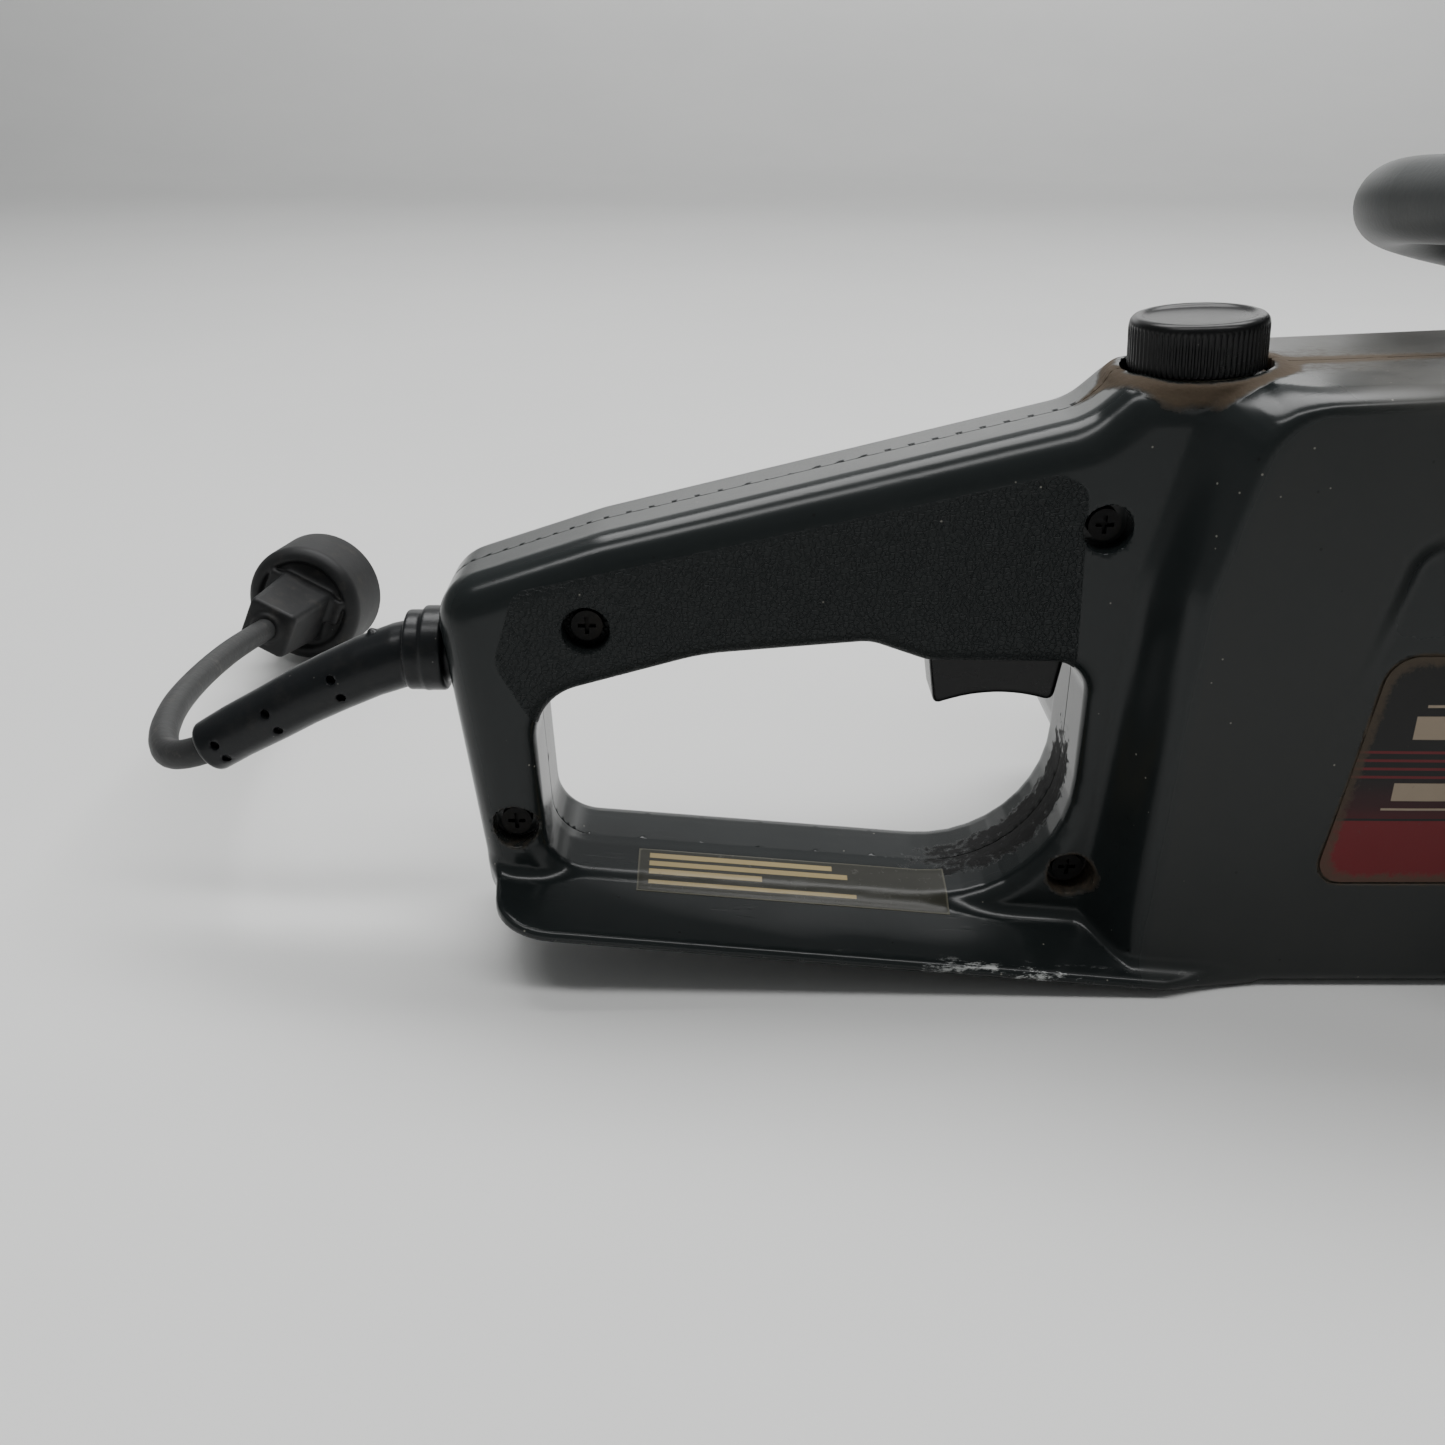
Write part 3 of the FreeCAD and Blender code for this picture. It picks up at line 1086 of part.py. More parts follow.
def build():
    """Every node by name, each a solid or a list of separate solids."""
    holders, brushes, springs = brush_parts()
    nodes = housing_halves()
    nodes.update(
        housing_screws=housing_screws(), front_handle=front_handle(),
        handle_screws=handle_screws(), hand_guard=hand_guard(), guard_screws=guard_screws(),
        sprocket_cover=sprocket_cover(), bar_studs=bar_studs(), bar_nuts=bar_nuts(),
        bumper_spikes=bumper_spikes(), side_label=side_label(),
        lower_label=label_slope(0.35), guide_bar=guide_bar(), nose_sprocket=nose_sprocket(),
        saw_chain=saw_chain(), tension_block=tension_block(), tension_screw=tension_screw(),
        armature_shaft=motor_rod(SHAFT_RADIUS, -23.5, 88), armature_core=armature_core(),
        armature_windings=armature_windings(), commutator=commutator(), motor_fan=motor_fan(),
        field_core=field_core(), field_coils=field_coils(), end_bracket=end_bracket(),
        brush_holders=holders, carbon_brushes=brushes, brush_springs=springs,
        motor_bearings=motor_bearings(), pinion=pinion(), drive_gear=drive_gear(),
        output_shaft=drive_rod(SHAFT_RADIUS, -55, -3), output_bearings=output_bearings(),
        drive_sprocket=drive_sprocket(), sprocket_clip=sprocket_clip(), gear_case=gear_case(),
        gear_cover=gear_cover(), gear_case_screws=gear_case_screws(), oil_tank=oil_tank(),
        oil_cap=oil_cap(), cap_seal=cap_seal(), oil_pump=oil_pump(), oil_line=oil_line(),
        trigger=trigger(), trigger_pin=trigger_pin(), switch_body=switch_body(),
        switch_plunger=switch_plunger(), lock_button=lock_button(), return_springs=return_springs(),
        cord_boot=boot_sleeve(), inner_cord=tube(INNER_CORD, CORD_DIAMETER / 2),
        cord_clamp=cord_clamp(), clamp_screws=clamp_screws(), switch_leads=switch_leads(),
        motor_leads=motor_leads(),
        power_cord=power_cord(), plug_body=plug_body(), plug_blades=plug_blades(),
    )
    return nodes


def export(nodes):
    """Write one STEP file for each node and print its size."""
    os.makedirs("parts", exist_ok=True)
    whole = FreeCAD.BoundBox()
    for name, pieces in nodes.items():
        pieces = pieces if isinstance(pieces, list) else [pieces]
        solids = [solid for piece in pieces for solid in piece.Solids]
        shape = solids[0] if len(solids) == 1 else Part.makeCompound(solids)
        shape.translate(ORIGIN * -1)
        if name not in ("power_cord", "plug_body", "plug_blades"):
            whole.add(shape.BoundBox)
        if not shape.isValid():
            print("not valid:", name)
        print(f"{name:20s} {len(solids):3d} solids, {shape.Volume / 1000:9.2f} cm3")
        shape.exportStep(f"parts/{name}.step")
    print("box without the cord:", whole)


export(build())
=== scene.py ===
import math

import bpy
import numpy as np
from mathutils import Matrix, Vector


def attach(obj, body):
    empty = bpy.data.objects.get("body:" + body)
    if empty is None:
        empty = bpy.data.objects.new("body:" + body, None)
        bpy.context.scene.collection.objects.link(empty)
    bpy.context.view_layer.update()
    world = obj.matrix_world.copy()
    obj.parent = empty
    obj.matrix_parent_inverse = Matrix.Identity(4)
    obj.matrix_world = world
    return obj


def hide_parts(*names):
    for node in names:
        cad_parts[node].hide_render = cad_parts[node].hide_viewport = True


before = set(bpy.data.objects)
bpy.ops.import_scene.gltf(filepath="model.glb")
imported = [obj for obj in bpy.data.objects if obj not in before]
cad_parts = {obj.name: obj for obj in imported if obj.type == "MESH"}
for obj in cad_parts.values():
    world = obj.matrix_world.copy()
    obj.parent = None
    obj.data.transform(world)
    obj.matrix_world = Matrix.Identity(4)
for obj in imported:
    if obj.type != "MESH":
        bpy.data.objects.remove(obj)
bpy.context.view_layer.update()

ORIGIN = np.array([281.78, 12.4, 0.0])
SEAM_GAP = 0.16            # half of the gap between the housing halves
WALL = 3.0
SHADE_REACH = 0.3          # how far off the slope of a field is measured for shading
SHADE_LIMIT = 26           # degrees between a face and its smooth normal at most

HANDLE_HALF = 19.0
BODY_HALF = 35.0
BULGE_INNER, BULGE_OUTER = 20.0, 96.0
HANDLE_ROUND = 10.0
BODY_ROUND = 4.5
BULGE_ROUND = 14.0
OPENING_ROUND = 5.0
RAMP = 13.0                # width of the slope between the handle's side and the body's side

HANDLE_OUTLINE = [
    (-61, 11, 9), (-71, 101, 13), (-30, 114.5, 60), (84, 142.5, 16),
    (94, 151.5, 10), (140, 151.5, 10), (140, 1, 10), (112, 1, 10),
]
OPENING_OUTLINE = [
    (-45.5, 25.8, 12), (-47.5, 73, 15), (-5, 85, 60), (36, 88.5, 12), (50, 83.5, 10),
    (90, 83, 9), (90, 13.8, 34),
]
BODY_OUTLINE = [(100, 0, 5), (116, 152.5, 10), (240, 157, 60), (352, 124, 24), (352, 0, 12)]
SIDE_OUTLINE = [
    (104.5, -20, 0), (110.5, 105, 40), (120.5, 149, 16), (240, 156, 60), (370, 150, 0),
    (370, -20, 0),
]
BULGE_OUTLINE = [(97, 16, 30), (97, 128, 44), (256, 128, 40), (256, 16, 30)]
PANEL_OUTLINE = [
    (-50, 102.2, 5), (78, 131.3, 6), (84.5, 128, 5), (86.5, 80, 2), (-44, 62, 6), (-56, 84, 8),
]
DENT_OUTLINE = [(131, 30, 8), (153.5, 123.5, 12), (214, 123.5, 12), (214, 30, 8)]
LABEL_DEPTH = 0.8
LABEL_OUTLINE = [(147, 31.5, 6), (155.5, 92, 8), (209, 92, 6), (209, 31.5, 6)]
GUARD_PLAN = [(-61.5, 2, 0), (-57, -40.5, 15), (113, -40.5, 7), (137, -33, 0), (137, 2, 0)]
GUARD_ROUND = 1.5
LOWER_LABEL = (-22.5, 60.0, -21.6, -5.2)   # X and Y limits
TRIGGER_OUTLINE = [
    (50, 93.5, 1), (64, 93.5, 4), (76, 102, 4), (88, 102, 5), (87.5, 88, 5), (84.5, 68.3, 2),
    (69.5, 72.3, 40), (54, 67.4, 1.4), (53, 74, 8), (51, 88, 2),
]
TRIGGER_PIVOT = (82, 97)
TRIGGER_HALF = 7.4
TRIGGER_SLOT = (46.5, -8.4, 70), (87, 8.4, 91)

HANDLE_SCREWS = [(-33, 92.5), (90, 118), (-53.5, 38), (91, 24)]
BODY_SCREWS = [(205, 143), (338, 112), (338, 14)]
SCREWS = ([(place, HANDLE_HALF) for place in HANDLE_SCREWS]
          + [(place, BODY_HALF) for place in BODY_SCREWS])
RECESS_RADIUS = 5.8
RECESS_DEPTH = 6.5
POST_RADIUS = 5.4
SCREW_BORE = 2.3

CAP_PLACE = (111.0, 151.5)  # X and Z of the filler axis on the collar's top
CAP_LEAN = math.radians(4)
COLLAR_RADIUS = 19.8
CAP_SEAT_RADIUS = 17.3
FILLER_BORE = 12.6

DRIVE_X, DRIVE_Z = 248.66, 62.0
STUD_XS = (304.66, 328.66)
STUD_HOLE = 4.2
SHAFT_HOLE = 9.5
LOCK_PLACE = (74.0, 114.0)
LOCK_HOLE = 5.2
VENT_LOW, VENT_PITCH, VENT_TALL, VENT_ROWS = 44, 10, 4, 7
BOOT_HOLE_Z, BOOT_HOLE = 81, 7.1

BOOT_LINE = [(-136.4, 51.7), (-127.5, 56.9), (-118, 61.9), (-109, 66.9), (-100, 71.3),
             (-91, 75.4), (-82, 78.6), (-71, 80.7)]
CORD_ROUTE = [
    (-136.4, 0, 51.7), (-147, 0.5, 47.5), (-155, 14, 47), (-161, 38, 44.5), (-165.5, 64, 40),
    (-168, 92, 35.5), (-168.6, 119.5, 31.3), (-166.9, 145, 27.1),
]
CORD_DIAMETER = 8.0
PLUG_AXIS = np.array([0.16, 0.984, -0.07])
PLUG_AXIS /= np.linalg.norm(PLUG_AXIS)
GRIP_LENGTH = 29.0
PLUG_DEPTH = 24.0
PLUG_RADIUS = 22.8
BLADE_XS = (-6.35, 6.35)

EYE = np.array([0.0, -333.0, 220.0])   # camera's place in the drawing frame
FLOOR_HEIGHT = -0.0004     # metres, as are the next three
FLAT_RADIUS, FLOOR_RADIUS = 2.4, 7.0
FLOOR_RISE = 3.4
FLOOR_SIDES = 96


# ---- signed distances: negative inside ----
def smooth(value, low, high):
    """0 below low, 1 above high, with a soft curve between."""
    share = np.clip((value - low) / (high - low), 0, 1)
    return share * share * (3 - 2 * share)


def meet(a, b, radius=0.0):
    """Overlap of two forms, with the edge between them rounded."""
    ridge = np.hypot(np.maximum(a + radius, 0), np.maximum(b + radius, 0))
    return np.minimum(np.maximum(a, b), -radius) + ridge


def cut(a, b, radius=0.0):
    """First form without the second."""
    return meet(a, -b, radius)


def fuse(a, b, radius=0.0):
    """Both forms together, with a concave fillet between them."""
    return -meet(-a, -b, radius)


def rounded_points(corners, steps=10):
    """Points of a closed outline whose corners (a, b, radius) are rounded by tangent arcs."""
    points = []
    count = len(corners)
    for index, (a, b, radius) in enumerate(corners):
        here = np.array([a, b], float)
        into = here - np.array(corners[index - 1][:2], float)
        out = np.array(corners[(index + 1) % count][:2], float) - here
        into /= np.linalg.norm(into)
        out /= np.linalg.norm(out)
        turn = math.acos(float(np.clip(into @ out, -1, 1)))
        if radius == 0 or turn < 1e-6:
            points.append(here)
            continue
        start = here - into * radius * math.tan(turn / 2)
        side = out - into * (into @ out)
        side /= np.linalg.norm(side)
        for step in range(steps + 1):
            angle = turn * step / steps
            points.append(start + into * radius * math.sin(angle)
                          + side * radius * (1 - math.cos(angle)))
    return np.array(points)


class Outline:
    """Signed distance to a closed outline, tabulated once and read back between the entries."""

    def __init__(self, corners, step=0.75, reach=42.0):
        points = rounded_points(corners)
        self.step = step
        self.low = points.min(axis=0) - reach
        self.count = np.ceil((points.max(axis=0) + reach - self.low) / step).astype(int) + 1
        a = self.low[0] + step * np.arange(self.count[0])[:, None]
        b = self.low[1] + step * np.arange(self.count[1])[None, :]
        distance = np.full(tuple(self.count), 1e9)
        inside = np.zeros(tuple(self.count), bool)
        for start, end in zip(points, np.roll(points, -1, axis=0)):
            along = end - start
            if along @ along < 1e-12:
                continue
            share = ((a - start[0]) * along[0] + (b - start[1]) * along[1]) / (along @ along)
            share = np.clip(share, 0, 1)
            near = np.hypot(a - start[0] - share * along[0], b - start[1] - share * along[1])
            distance = np.minimum(distance, near)
            if along[1] != 0:
                crosses = (start[1] > b) != (end[1] > b)
                inside ^= crosses & (a < start[0] + along[0] * (b - start[1]) / along[1])
        self.table = np.where(inside, -distance, distance)

    def __call__(self, a, b):
        """Distance at points (a, b), read from the table."""
        u = np.clip((a - self.low[0]) / self.step, 0, self.count[0] - 1.001)
        v = np.clip((b - self.low[1]) / self.step, 0, self.count[1] - 1.001)
        i, j = u.astype(int), v.astype(int)
        u, v = u - i, v - j
        table = self.table
        return ((table[i, j] * (1 - v) + table[i, j + 1] * v) * (1 - u)
                + (table[i + 1, j] * (1 - v) + table[i + 1, j + 1] * v) * u)


HANDLE, OPENING, BODY, SIDE, BULGE, PANEL, DENT, LABEL, GUARD = [
    Outline(corners) for corners in (
        HANDLE_OUTLINE, OPENING_OUTLINE, BODY_OUTLINE, SIDE_OUTLINE, BULGE_OUTLINE, PANEL_OUTLINE,
        DENT_OUTLINE, LABEL_OUTLINE, GUARD_PLAN)
]
TRIGGER = Outline(TRIGGER_OUTLINE, reach=12)


def box_form(x, y, z, low, high, radius=0.0):
    """Box between two corners, with rounded edges."""
    sides = [np.maximum(low[k] - v, v - high[k]) for k, v in enumerate((x, y, z))]
    return meet(meet(sides[0], sides[2], radius), sides[1], radius)


def rod_y(x, y, z, place, radius, y0, y1):
    """Cylinder along Y about place (x, z)."""
    return meet(np.hypot(x - place[0], z - place[1]) - radius, np.maximum(y0 - y, y - y1))


def cap_frame(x, y, z):
    """Height along the filler axis above the collar, and distance from the axis."""
    dx, dz = x - CAP_PLACE[0], z - CAP_PLACE[1]
    height = -dx * math.sin(CAP_LEAN) + dz * math.cos(CAP_LEAN)
    across = dx * math.cos(CAP_LEAN) + dz * math.sin(CAP_LEAN)
    return height, np.hypot(across, y)


# ---- surface of a form: dual contouring ----
def field_slope(field, points, reach):
    """Gradient of a field at many points."""
    steps = reach * np.eye(3)
    return np.stack([field(*(points + step).T) - field(*(points - step).T) for step in steps],
                    axis=1) / (2 * reach)


def surface_points(field, low, high, step):
    """Vertices and quads of the surface where field is 0; sharp edges stay sharp."""
    low = np.array(low, float)
    counts = [int(math.ceil((high[k] - low[k]) / step)) + 1 for k in range(3)]
    axes = [low[k] + step * np.arange(counts[k]) for k in range(3)]
    grid = np.meshgrid(*axes, indexing="ij", sparse=True)
    values = np.broadcast_to(field(*grid), tuple(counts))
    spots, cells_of_edges, flips = [], [], []
    for axis in range(3):
        near = np.take(values, range(counts[axis] - 1), axis)
        far = np.take(values, range(1, counts[axis]), axis)
        index = np.argwhere((near < 0) != (far < 0))
        a, b = near[tuple(index.T)], far[tuple(index.T)]
        start = low + index * step
        first, last = np.zeros(len(index)), np.ones(len(index))
        inside_first = a < 0
        share = a / (a - b)
        for _ in range(2):
            spot = start.copy()
            spot[:, axis] += share * step
            here = field(*spot.T)
            before = (here < 0) == inside_first
            first, a = np.where(before, share, first), np.where(before, here, a)
            last, b = np.where(before, last, share), np.where(before, b, here)
            share = first + (last - first) * a / np.where(a == b, 1, a - b)
        spot = start.copy()
        spot[:, axis] += share * step
        second, third = (axis + 1) % 3, (axis + 2) % 3
        around = []
        for one, two in ((-1, -1), (0, -1), (0, 0), (-1, 0)):
            cell = index.copy()
            cell[:, second] += one
            cell[:, third] += two
            around.append(np.ravel_multi_index(tuple(cell.T), counts, mode="clip"))
        spots.append(spot)
        cells_of_edges.append(np.stack(around, axis=1))
        flips.append(~inside_first)
    spots = np.concatenate(spots)
    around = np.concatenate(cells_of_edges)
    flips = np.concatenate(flips)

    here = field(*spots.T)
    slope = np.stack([field(*(spots + small).T) - here for small in 0.04 * np.eye(3)], axis=1)
    slope /= np.maximum(np.linalg.norm(slope, axis=1, keepdims=True), 1e-12)

    cells, owner = np.unique(around, return_inverse=True)
    owner = owner.reshape(-1)
    normals = np.repeat(slope, 4, axis=0)
    places = np.repeat(spots, 4, axis=0)
    total = len(cells)

    def gather(weights):
        return np.bincount(owner, weights, total)

    share = gather(np.ones(len(owner)))
    middle = np.stack([gather(places[:, k]) / share for k in range(3)], axis=1)
    offset = np.sum(normals * (places - middle[owner]), axis=1)
    square = np.zeros((total, 3, 3))
    for row in range(3):
        for column in range(row, 3):
            entry = gather(normals[:, row] * normals[:, column])
            square[:, row, column] = entry
            square[:, column, row] = entry
    right = np.stack([gather(normals[:, k] * offset) for k in range(3)], axis=1)
    square += 0.06 * share[:, None, None] * np.eye(3)
    move = np.linalg.solve(square, right[:, :, None])[:, :, 0]
    corner = low + step * np.stack(np.unravel_index(cells, counts), axis=1)
    points = np.clip(middle + move, corner - 0.1 * step, corner + 1.1 * step)
    astray = np.abs(field(*points.T)) > 0.1 * step
    points[astray] = middle[astray]
    for _ in range(2):
        slope = field_slope(field, points, 0.25 * step)
        pull = field(*points.T) / np.maximum(np.sum(slope * slope, axis=1), 0.2)
        points = points - np.clip(pull, -0.25 * step, 0.25 * step)[:, None] * slope

    quads = owner.reshape(-1, 4)
    quads = np.where(flips[:, None], quads[:, ::-1], quads)
    return points, quads


# ---- pieces ----
def shade_from_field(mesh, field):
    """Normals from the field wherever they agree with the faces, so that highlights run smoothly."""
    vertices = np.empty(len(mesh.vertices) * 3, np.float32)
    mesh.vertices.foreach_get("co", vertices)
    places = vertices.reshape(-1, 3).astype(float) * 1000 + ORIGIN
    slope = field_slope(field, places, SHADE_REACH)
    slope /= np.maximum(np.linalg.norm(slope, axis=1, keepdims=True), 1e-9)
    flat = np.empty(len(mesh.polygons) * 3, np.float32)
    mesh.polygons.foreach_get("normal", flat)
    corner = np.empty(len(mesh.loops), np.int32)
    mesh.loops.foreach_get("vertex_index", corner)
    size = len(mesh.loops) // len(mesh.polygons)
    flat = np.repeat(flat.reshape(-1, 3), size, axis=0)
    bent = slope[corner]
    agree = np.sum(bent * flat, axis=1) > math.cos(math.radians(SHADE_LIMIT))
    mesh.normals_split_custom_set(np.where(agree[:, None], bent, flat))


def new_object(name, data):
    """Object with this data, in the scene."""
    made = bpy.data.objects.new(name, data)
    bpy.context.scene.collection.objects.link(made)
    return made


def add_piece(name, points, faces, body, material, nodes=(), sharp=32, masks=None,
              field=None):
    """Mesh object from drawing-frame points; faces is an array of quads or a list of tuples."""
    mesh = bpy.data.meshes.new(name)
    scaled = (np.asarray(points, float) - ORIGIN) / 1000
    if isinstance(faces, np.ndarray):
        mesh.vertices.add(len(scaled))
        mesh.vertices.foreach_set("co", scaled.astype(np.float32).ravel())
        mesh.loops.add(faces.size)
        mesh.loops.foreach_set("vertex_index", faces.astype(np.int32).ravel())
        mesh.polygons.add(len(faces))
        mesh.polygons.foreach_set("loop_start",
                                  np.arange(0, faces.size, faces.shape[1], dtype=np.int32))
        mesh.update(calc_edges=True)
    else:
        mesh.from_pydata([tuple(point) for point in scaled], [], faces)
    mesh.validate()
    mesh.polygons.foreach_set("use_smooth", np.ones(len(mesh.polygons), bool))
    if field is None:
        mesh.set_sharp_from_angle(angle=math.radians(sharp))
    else:
        shade_from_field(mesh, field)
    for mask, values in (masks or {}).items():
        layer = mesh.attributes.new(mask, "FLOAT", "POINT")
        layer.data.foreach_set("value", np.asarray(values, np.float32))
    mesh.materials.append(material)
    piece = new_object(name, mesh)
    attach(piece, body)
    if nodes:
        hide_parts(*nodes)
    return piece


def stack_of_rings(rings):
    """Points and faces of a closed skin through rings of equal length, ends closed by fans."""
    rings = [np.asarray(ring) for ring in rings]
    size = len(rings[0])
    points = np.concatenate(rings + [rings[0].mean(axis=0)[None], rings[-1].mean(axis=0)[None]])
    faces = []
    for row in range(len(rings) - 1):
        for k in range(size):
            after = (k + 1) % size
            faces.append((row * size + k, row * size + after,
                          (row + 1) * size + after, (row + 1) * size + k))
    first, last = len(points) - 2, len(points) - 1
    base = (len(rings) - 1) * size
    for k in range(size):
        after = (k + 1) % size
        faces.append((first, after, k))
        faces.append((last, base + k, base + after))
    return points, faces


# ---- materials ----
class Finish:
    """One procedural material, with short names for the nodes it is made of."""

    def __init__(self, name, roughness=0.5, **plain):
        self.material = bpy.data.materials.new(name)
        self.material.use_nodes = True
        self.tree = self.material.node_tree
        self.surface = self.tree.nodes["Principled BSDF"]
        self.surface.inputs["Roughness"].default_value = roughness
        self.surface.inputs["Specular IOR Level"].default_value = 0.26
        for socket, value in plain.items():
            self.surface.inputs[socket.replace("_", " ")].default_value = value
        self.place = self.node("ShaderNodeTexCoord").outputs["Object"]

    def node(self, kind, inputs=None, **settings):
        node = self.tree.nodes.new(kind)
        for name, value in settings.items():
            setattr(node, name, value)
        for key, value in (inputs or {}).items():
            self.put(node.inputs[key], value)
        return node

    def put(self, socket, value):
        if isinstance(value, bpy.types.NodeSocket):
            self.tree.links.new(value, socket)
        elif socket.type == "RGBA" and len(value) == 3:
            socket.default_value = (*value, 1)
        else:
            socket.default_value = value

    def stretched(self, stretch):
        """Object coordinates, with features made longer along the axes with small numbers."""
        return self.node("ShaderNodeMapping", {"Vector": self.place, "Scale": stretch}).outputs[0]

    def noise(self, size, detail=4.0, roughness=0.55, stretch=None, distortion=0.0):
        """Cloudy noise with features of about size millimetres."""
        place = self.stretched(stretch) if stretch else self.place
        return self.node("ShaderNodeTexNoise", {
            "Vector": place, "Scale": 1000 / size, "Detail": detail, "Roughness": roughness,
            "Distortion": distortion}).outputs["Fac"]

    def cells(self, size, feature="DISTANCE_TO_EDGE", stretch=None):
        """Distance to the edges of cells of a size in millimetres, or with F1 to their middles."""
        place = self.stretched(stretch) if stretch else self.place
        return self.node("ShaderNodeTexVoronoi", {"Vector": place, "Scale": 1000 / size},
                         feature=feature).outputs["Distance"]

    def mask(self, name):
        """Values stored at the vertices under a name."""
        return self.node("ShaderNodeAttribute", attribute_name=name).outputs["Fac"]

    def step(self, value, low, high, to_low=0.0, to_high=1.0):
        """Smooth step from to_low at low to to_high at high."""
        return self.node("ShaderNodeMapRange", {
            "Value": value, "From Min": low, "From Max": high, "To Min": to_low,
            "To Max": to_high}, interpolation_type="SMOOTHSTEP").outputs[0]

    def math(self, operation, a, b=0.0):
        return self.node("ShaderNodeMath", {0: a, 1: b}, operation=operation).outputs[0]

    def product(self, *values):
        total = values[0]
        for value in values[1:]:
            total = self.math("MULTIPLY", total, value)
        return total

    def mix(self, share, a, b):
        """Colour between a and b."""
        node = self.node("ShaderNodeMix", data_type="RGBA")
        self.put(node.inputs["Factor"], share)
        self.put(node.inputs[6], a)
        self.put(node.inputs[7], b)
        return node.outputs[2]

    def vary(self, share, a, b):
        """Number between a and b."""
        node = self.node("ShaderNodeMix", data_type="FLOAT")
        self.put(node.inputs["Factor"], share)
        self.put(node.inputs[2], a)
        self.put(node.inputs[3], b)
        return node.outputs[0]

    def axis(self, name):
        """One object coordinate, in metres."""
        return self.node("ShaderNodeSeparateXYZ", {"Vector": self.place}).outputs[name]

    def done(self, colour, roughness=None, heights=()):
        """Links the colour, the roughness and bumps (height, depth in millimetres)."""
        self.put(self.surface.inputs["Base Color"], colour)
        if roughness is not None:
            self.put(self.surface.inputs["Roughness"], roughness)
        normal = None
        for height, depth in heights:
            bump = self.node("ShaderNodeBump", {"Height": height, "Distance": depth / 1000})
            if normal is not None:
                self.put(bump.inputs["Normal"], normal)
            normal = bump.outputs[0]
        if normal is not None:
            self.put(self.surface.inputs["Normal"], normal)
        return self.material


def housing_finish():
    """Glossy grey-green plastic: grained grip panels, dusty body sides with painted shade in the
    hollow round the label, dirt, grime and scuffs.
    """
    f = Finish("housing_plastic", IOR=1.5)
    cloud = f.noise(38, 5)
    fine = f.noise(2.2, 5)
    colour = f.mix(cloud, (0.0085, 0.0108, 0.0110), (0.0125, 0.0152, 0.0154))
    roughness = f.vary(cloud, 0.15, 0.25)

    # paler dust on the body sides, kept off the label's hollow so that the hollow shows darker as
    # painted shade
    dust_and_dent_shade_share = f.product(f.mask("pale_share"), f.step(f.noise(60, 6, 0.62), 0.25, 0.75, 0.35, 1.0))
    colour = f.mix(f.product(dust_and_dent_shade_share, 0.55), colour, (0.030, 0.030, 0.028))
    top_share = f.product(f.mask("top"), f.step(f.noise(34, 6, 0.62), 0.3, 0.7, 0.5, 1.0))
    colour = f.mix(f.product(top_share, 0.8), colour, (0.095, 0.092, 0.084))
    roughness = f.vary(f.math("MAXIMUM", dust_and_dent_shade_share, top_share), roughness, 0.5)

    grained = f.step(f.mask("panel"), 0.15, -0.25)
    grain = f.step(f.cells(1.25), 0.0, 0.16)
    colour = f.mix(f.product(grained, 0.6), colour, (0.0035, 0.0055, 0.0056))
    roughness = f.vary(grained, roughness, 0.5)

    sawdust = f.step(f.math("ADD", f.mask("sawdust"), f.math("MULTIPLY", fine, 0.55)), 0.62, 1.15)
    colour = f.mix(f.product(sawdust, 0.75), colour, (0.078, 0.055, 0.034))
    roughness = f.vary(sawdust, roughness, 0.85)

    blotch = f.noise(3.0, 6, 0.7)
    grime = f.step(f.math("ADD", f.mask("grime"), f.math("MULTIPLY", blotch, 1.5)), 1.42, 1.62)
    colour = f.mix(grime, colour, (0.004, 0.004, 0.004))
    roughness = f.vary(grime, roughness, 0.75)

    specks = f.step(f.cells(7.5, "F1"), 0.045, 0.02)
    colour = f.mix(f.product(specks, 0.7), colour, (0.24, 0.23, 0.20))
    dark_specks = f.step(f.cells(9.0, "F1", stretch=(1.0, 1.1, 0.9)), 0.05, 0.03)
    colour = f.mix(f.product(dark_specks, 0.8), colour, (0.006, 0.006, 0.006))

    scuff = f.product(f.mask("scuff"), f.step(f.noise(6, 6, 0.8, stretch=(0.35, 1, 1)), 0.56, 0.64))
    colour = f.mix(scuff, colour, (0.42, 0.43, 0.42))

    scratch = f.step(f.noise(1.6, 2, 0.5, stretch=(0.12, 1.0, 0.5), distortion=0.8), 0.6, 0.72)
    return f.done(colour, roughness, [
        (f.noise(24, 2), 0.10), (f.product(scratch, 0.5), 0.012),
        (f.product(grained, grain), 0.17), (f.product(grained, fine), 0.10),
        (grained, -0.16), (f.product(sawdust, fine), 0.35), (f.product(grime, blotch), 0.3),
    ])


def plastic_finish(name, dark, light, gloss=(0.22, 0.34), grain=0.02, size=1.2, dust=0.25):
    """Moulded plastic with a soft tone, fine surface texture, dust and sparse scratches."""
    f = Finish(name)
    cloud = f.noise(30, 5)
    colour = f.mix(cloud, dark, light)
    fine = f.noise(size, 4)
    pale_share = f.step(f.noise(22, 6, 0.65), 0.45, 0.8, 0.0, dust)
    colour = f.mix(pale_share, colour, (0.17, 0.165, 0.15))
    specks = f.step(f.cells(6.0, "F1"), 0.05, 0.02)
    colour = f.mix(f.product(specks, 0.4), colour, (0.22, 0.21, 0.19))
    roughness = f.vary(cloud, gloss[0], gloss[1])
    roughness = f.vary(pale_share, roughness, 0.7)
    scratch = f.step(f.noise(1.4, 2, 0.5, stretch=(0.15, 1.0, 0.6), distortion=1.0), 0.62, 0.72)
    return f.done(colour, roughness, [(fine, grain), (f.product(scratch, 0.5), 0.012)])


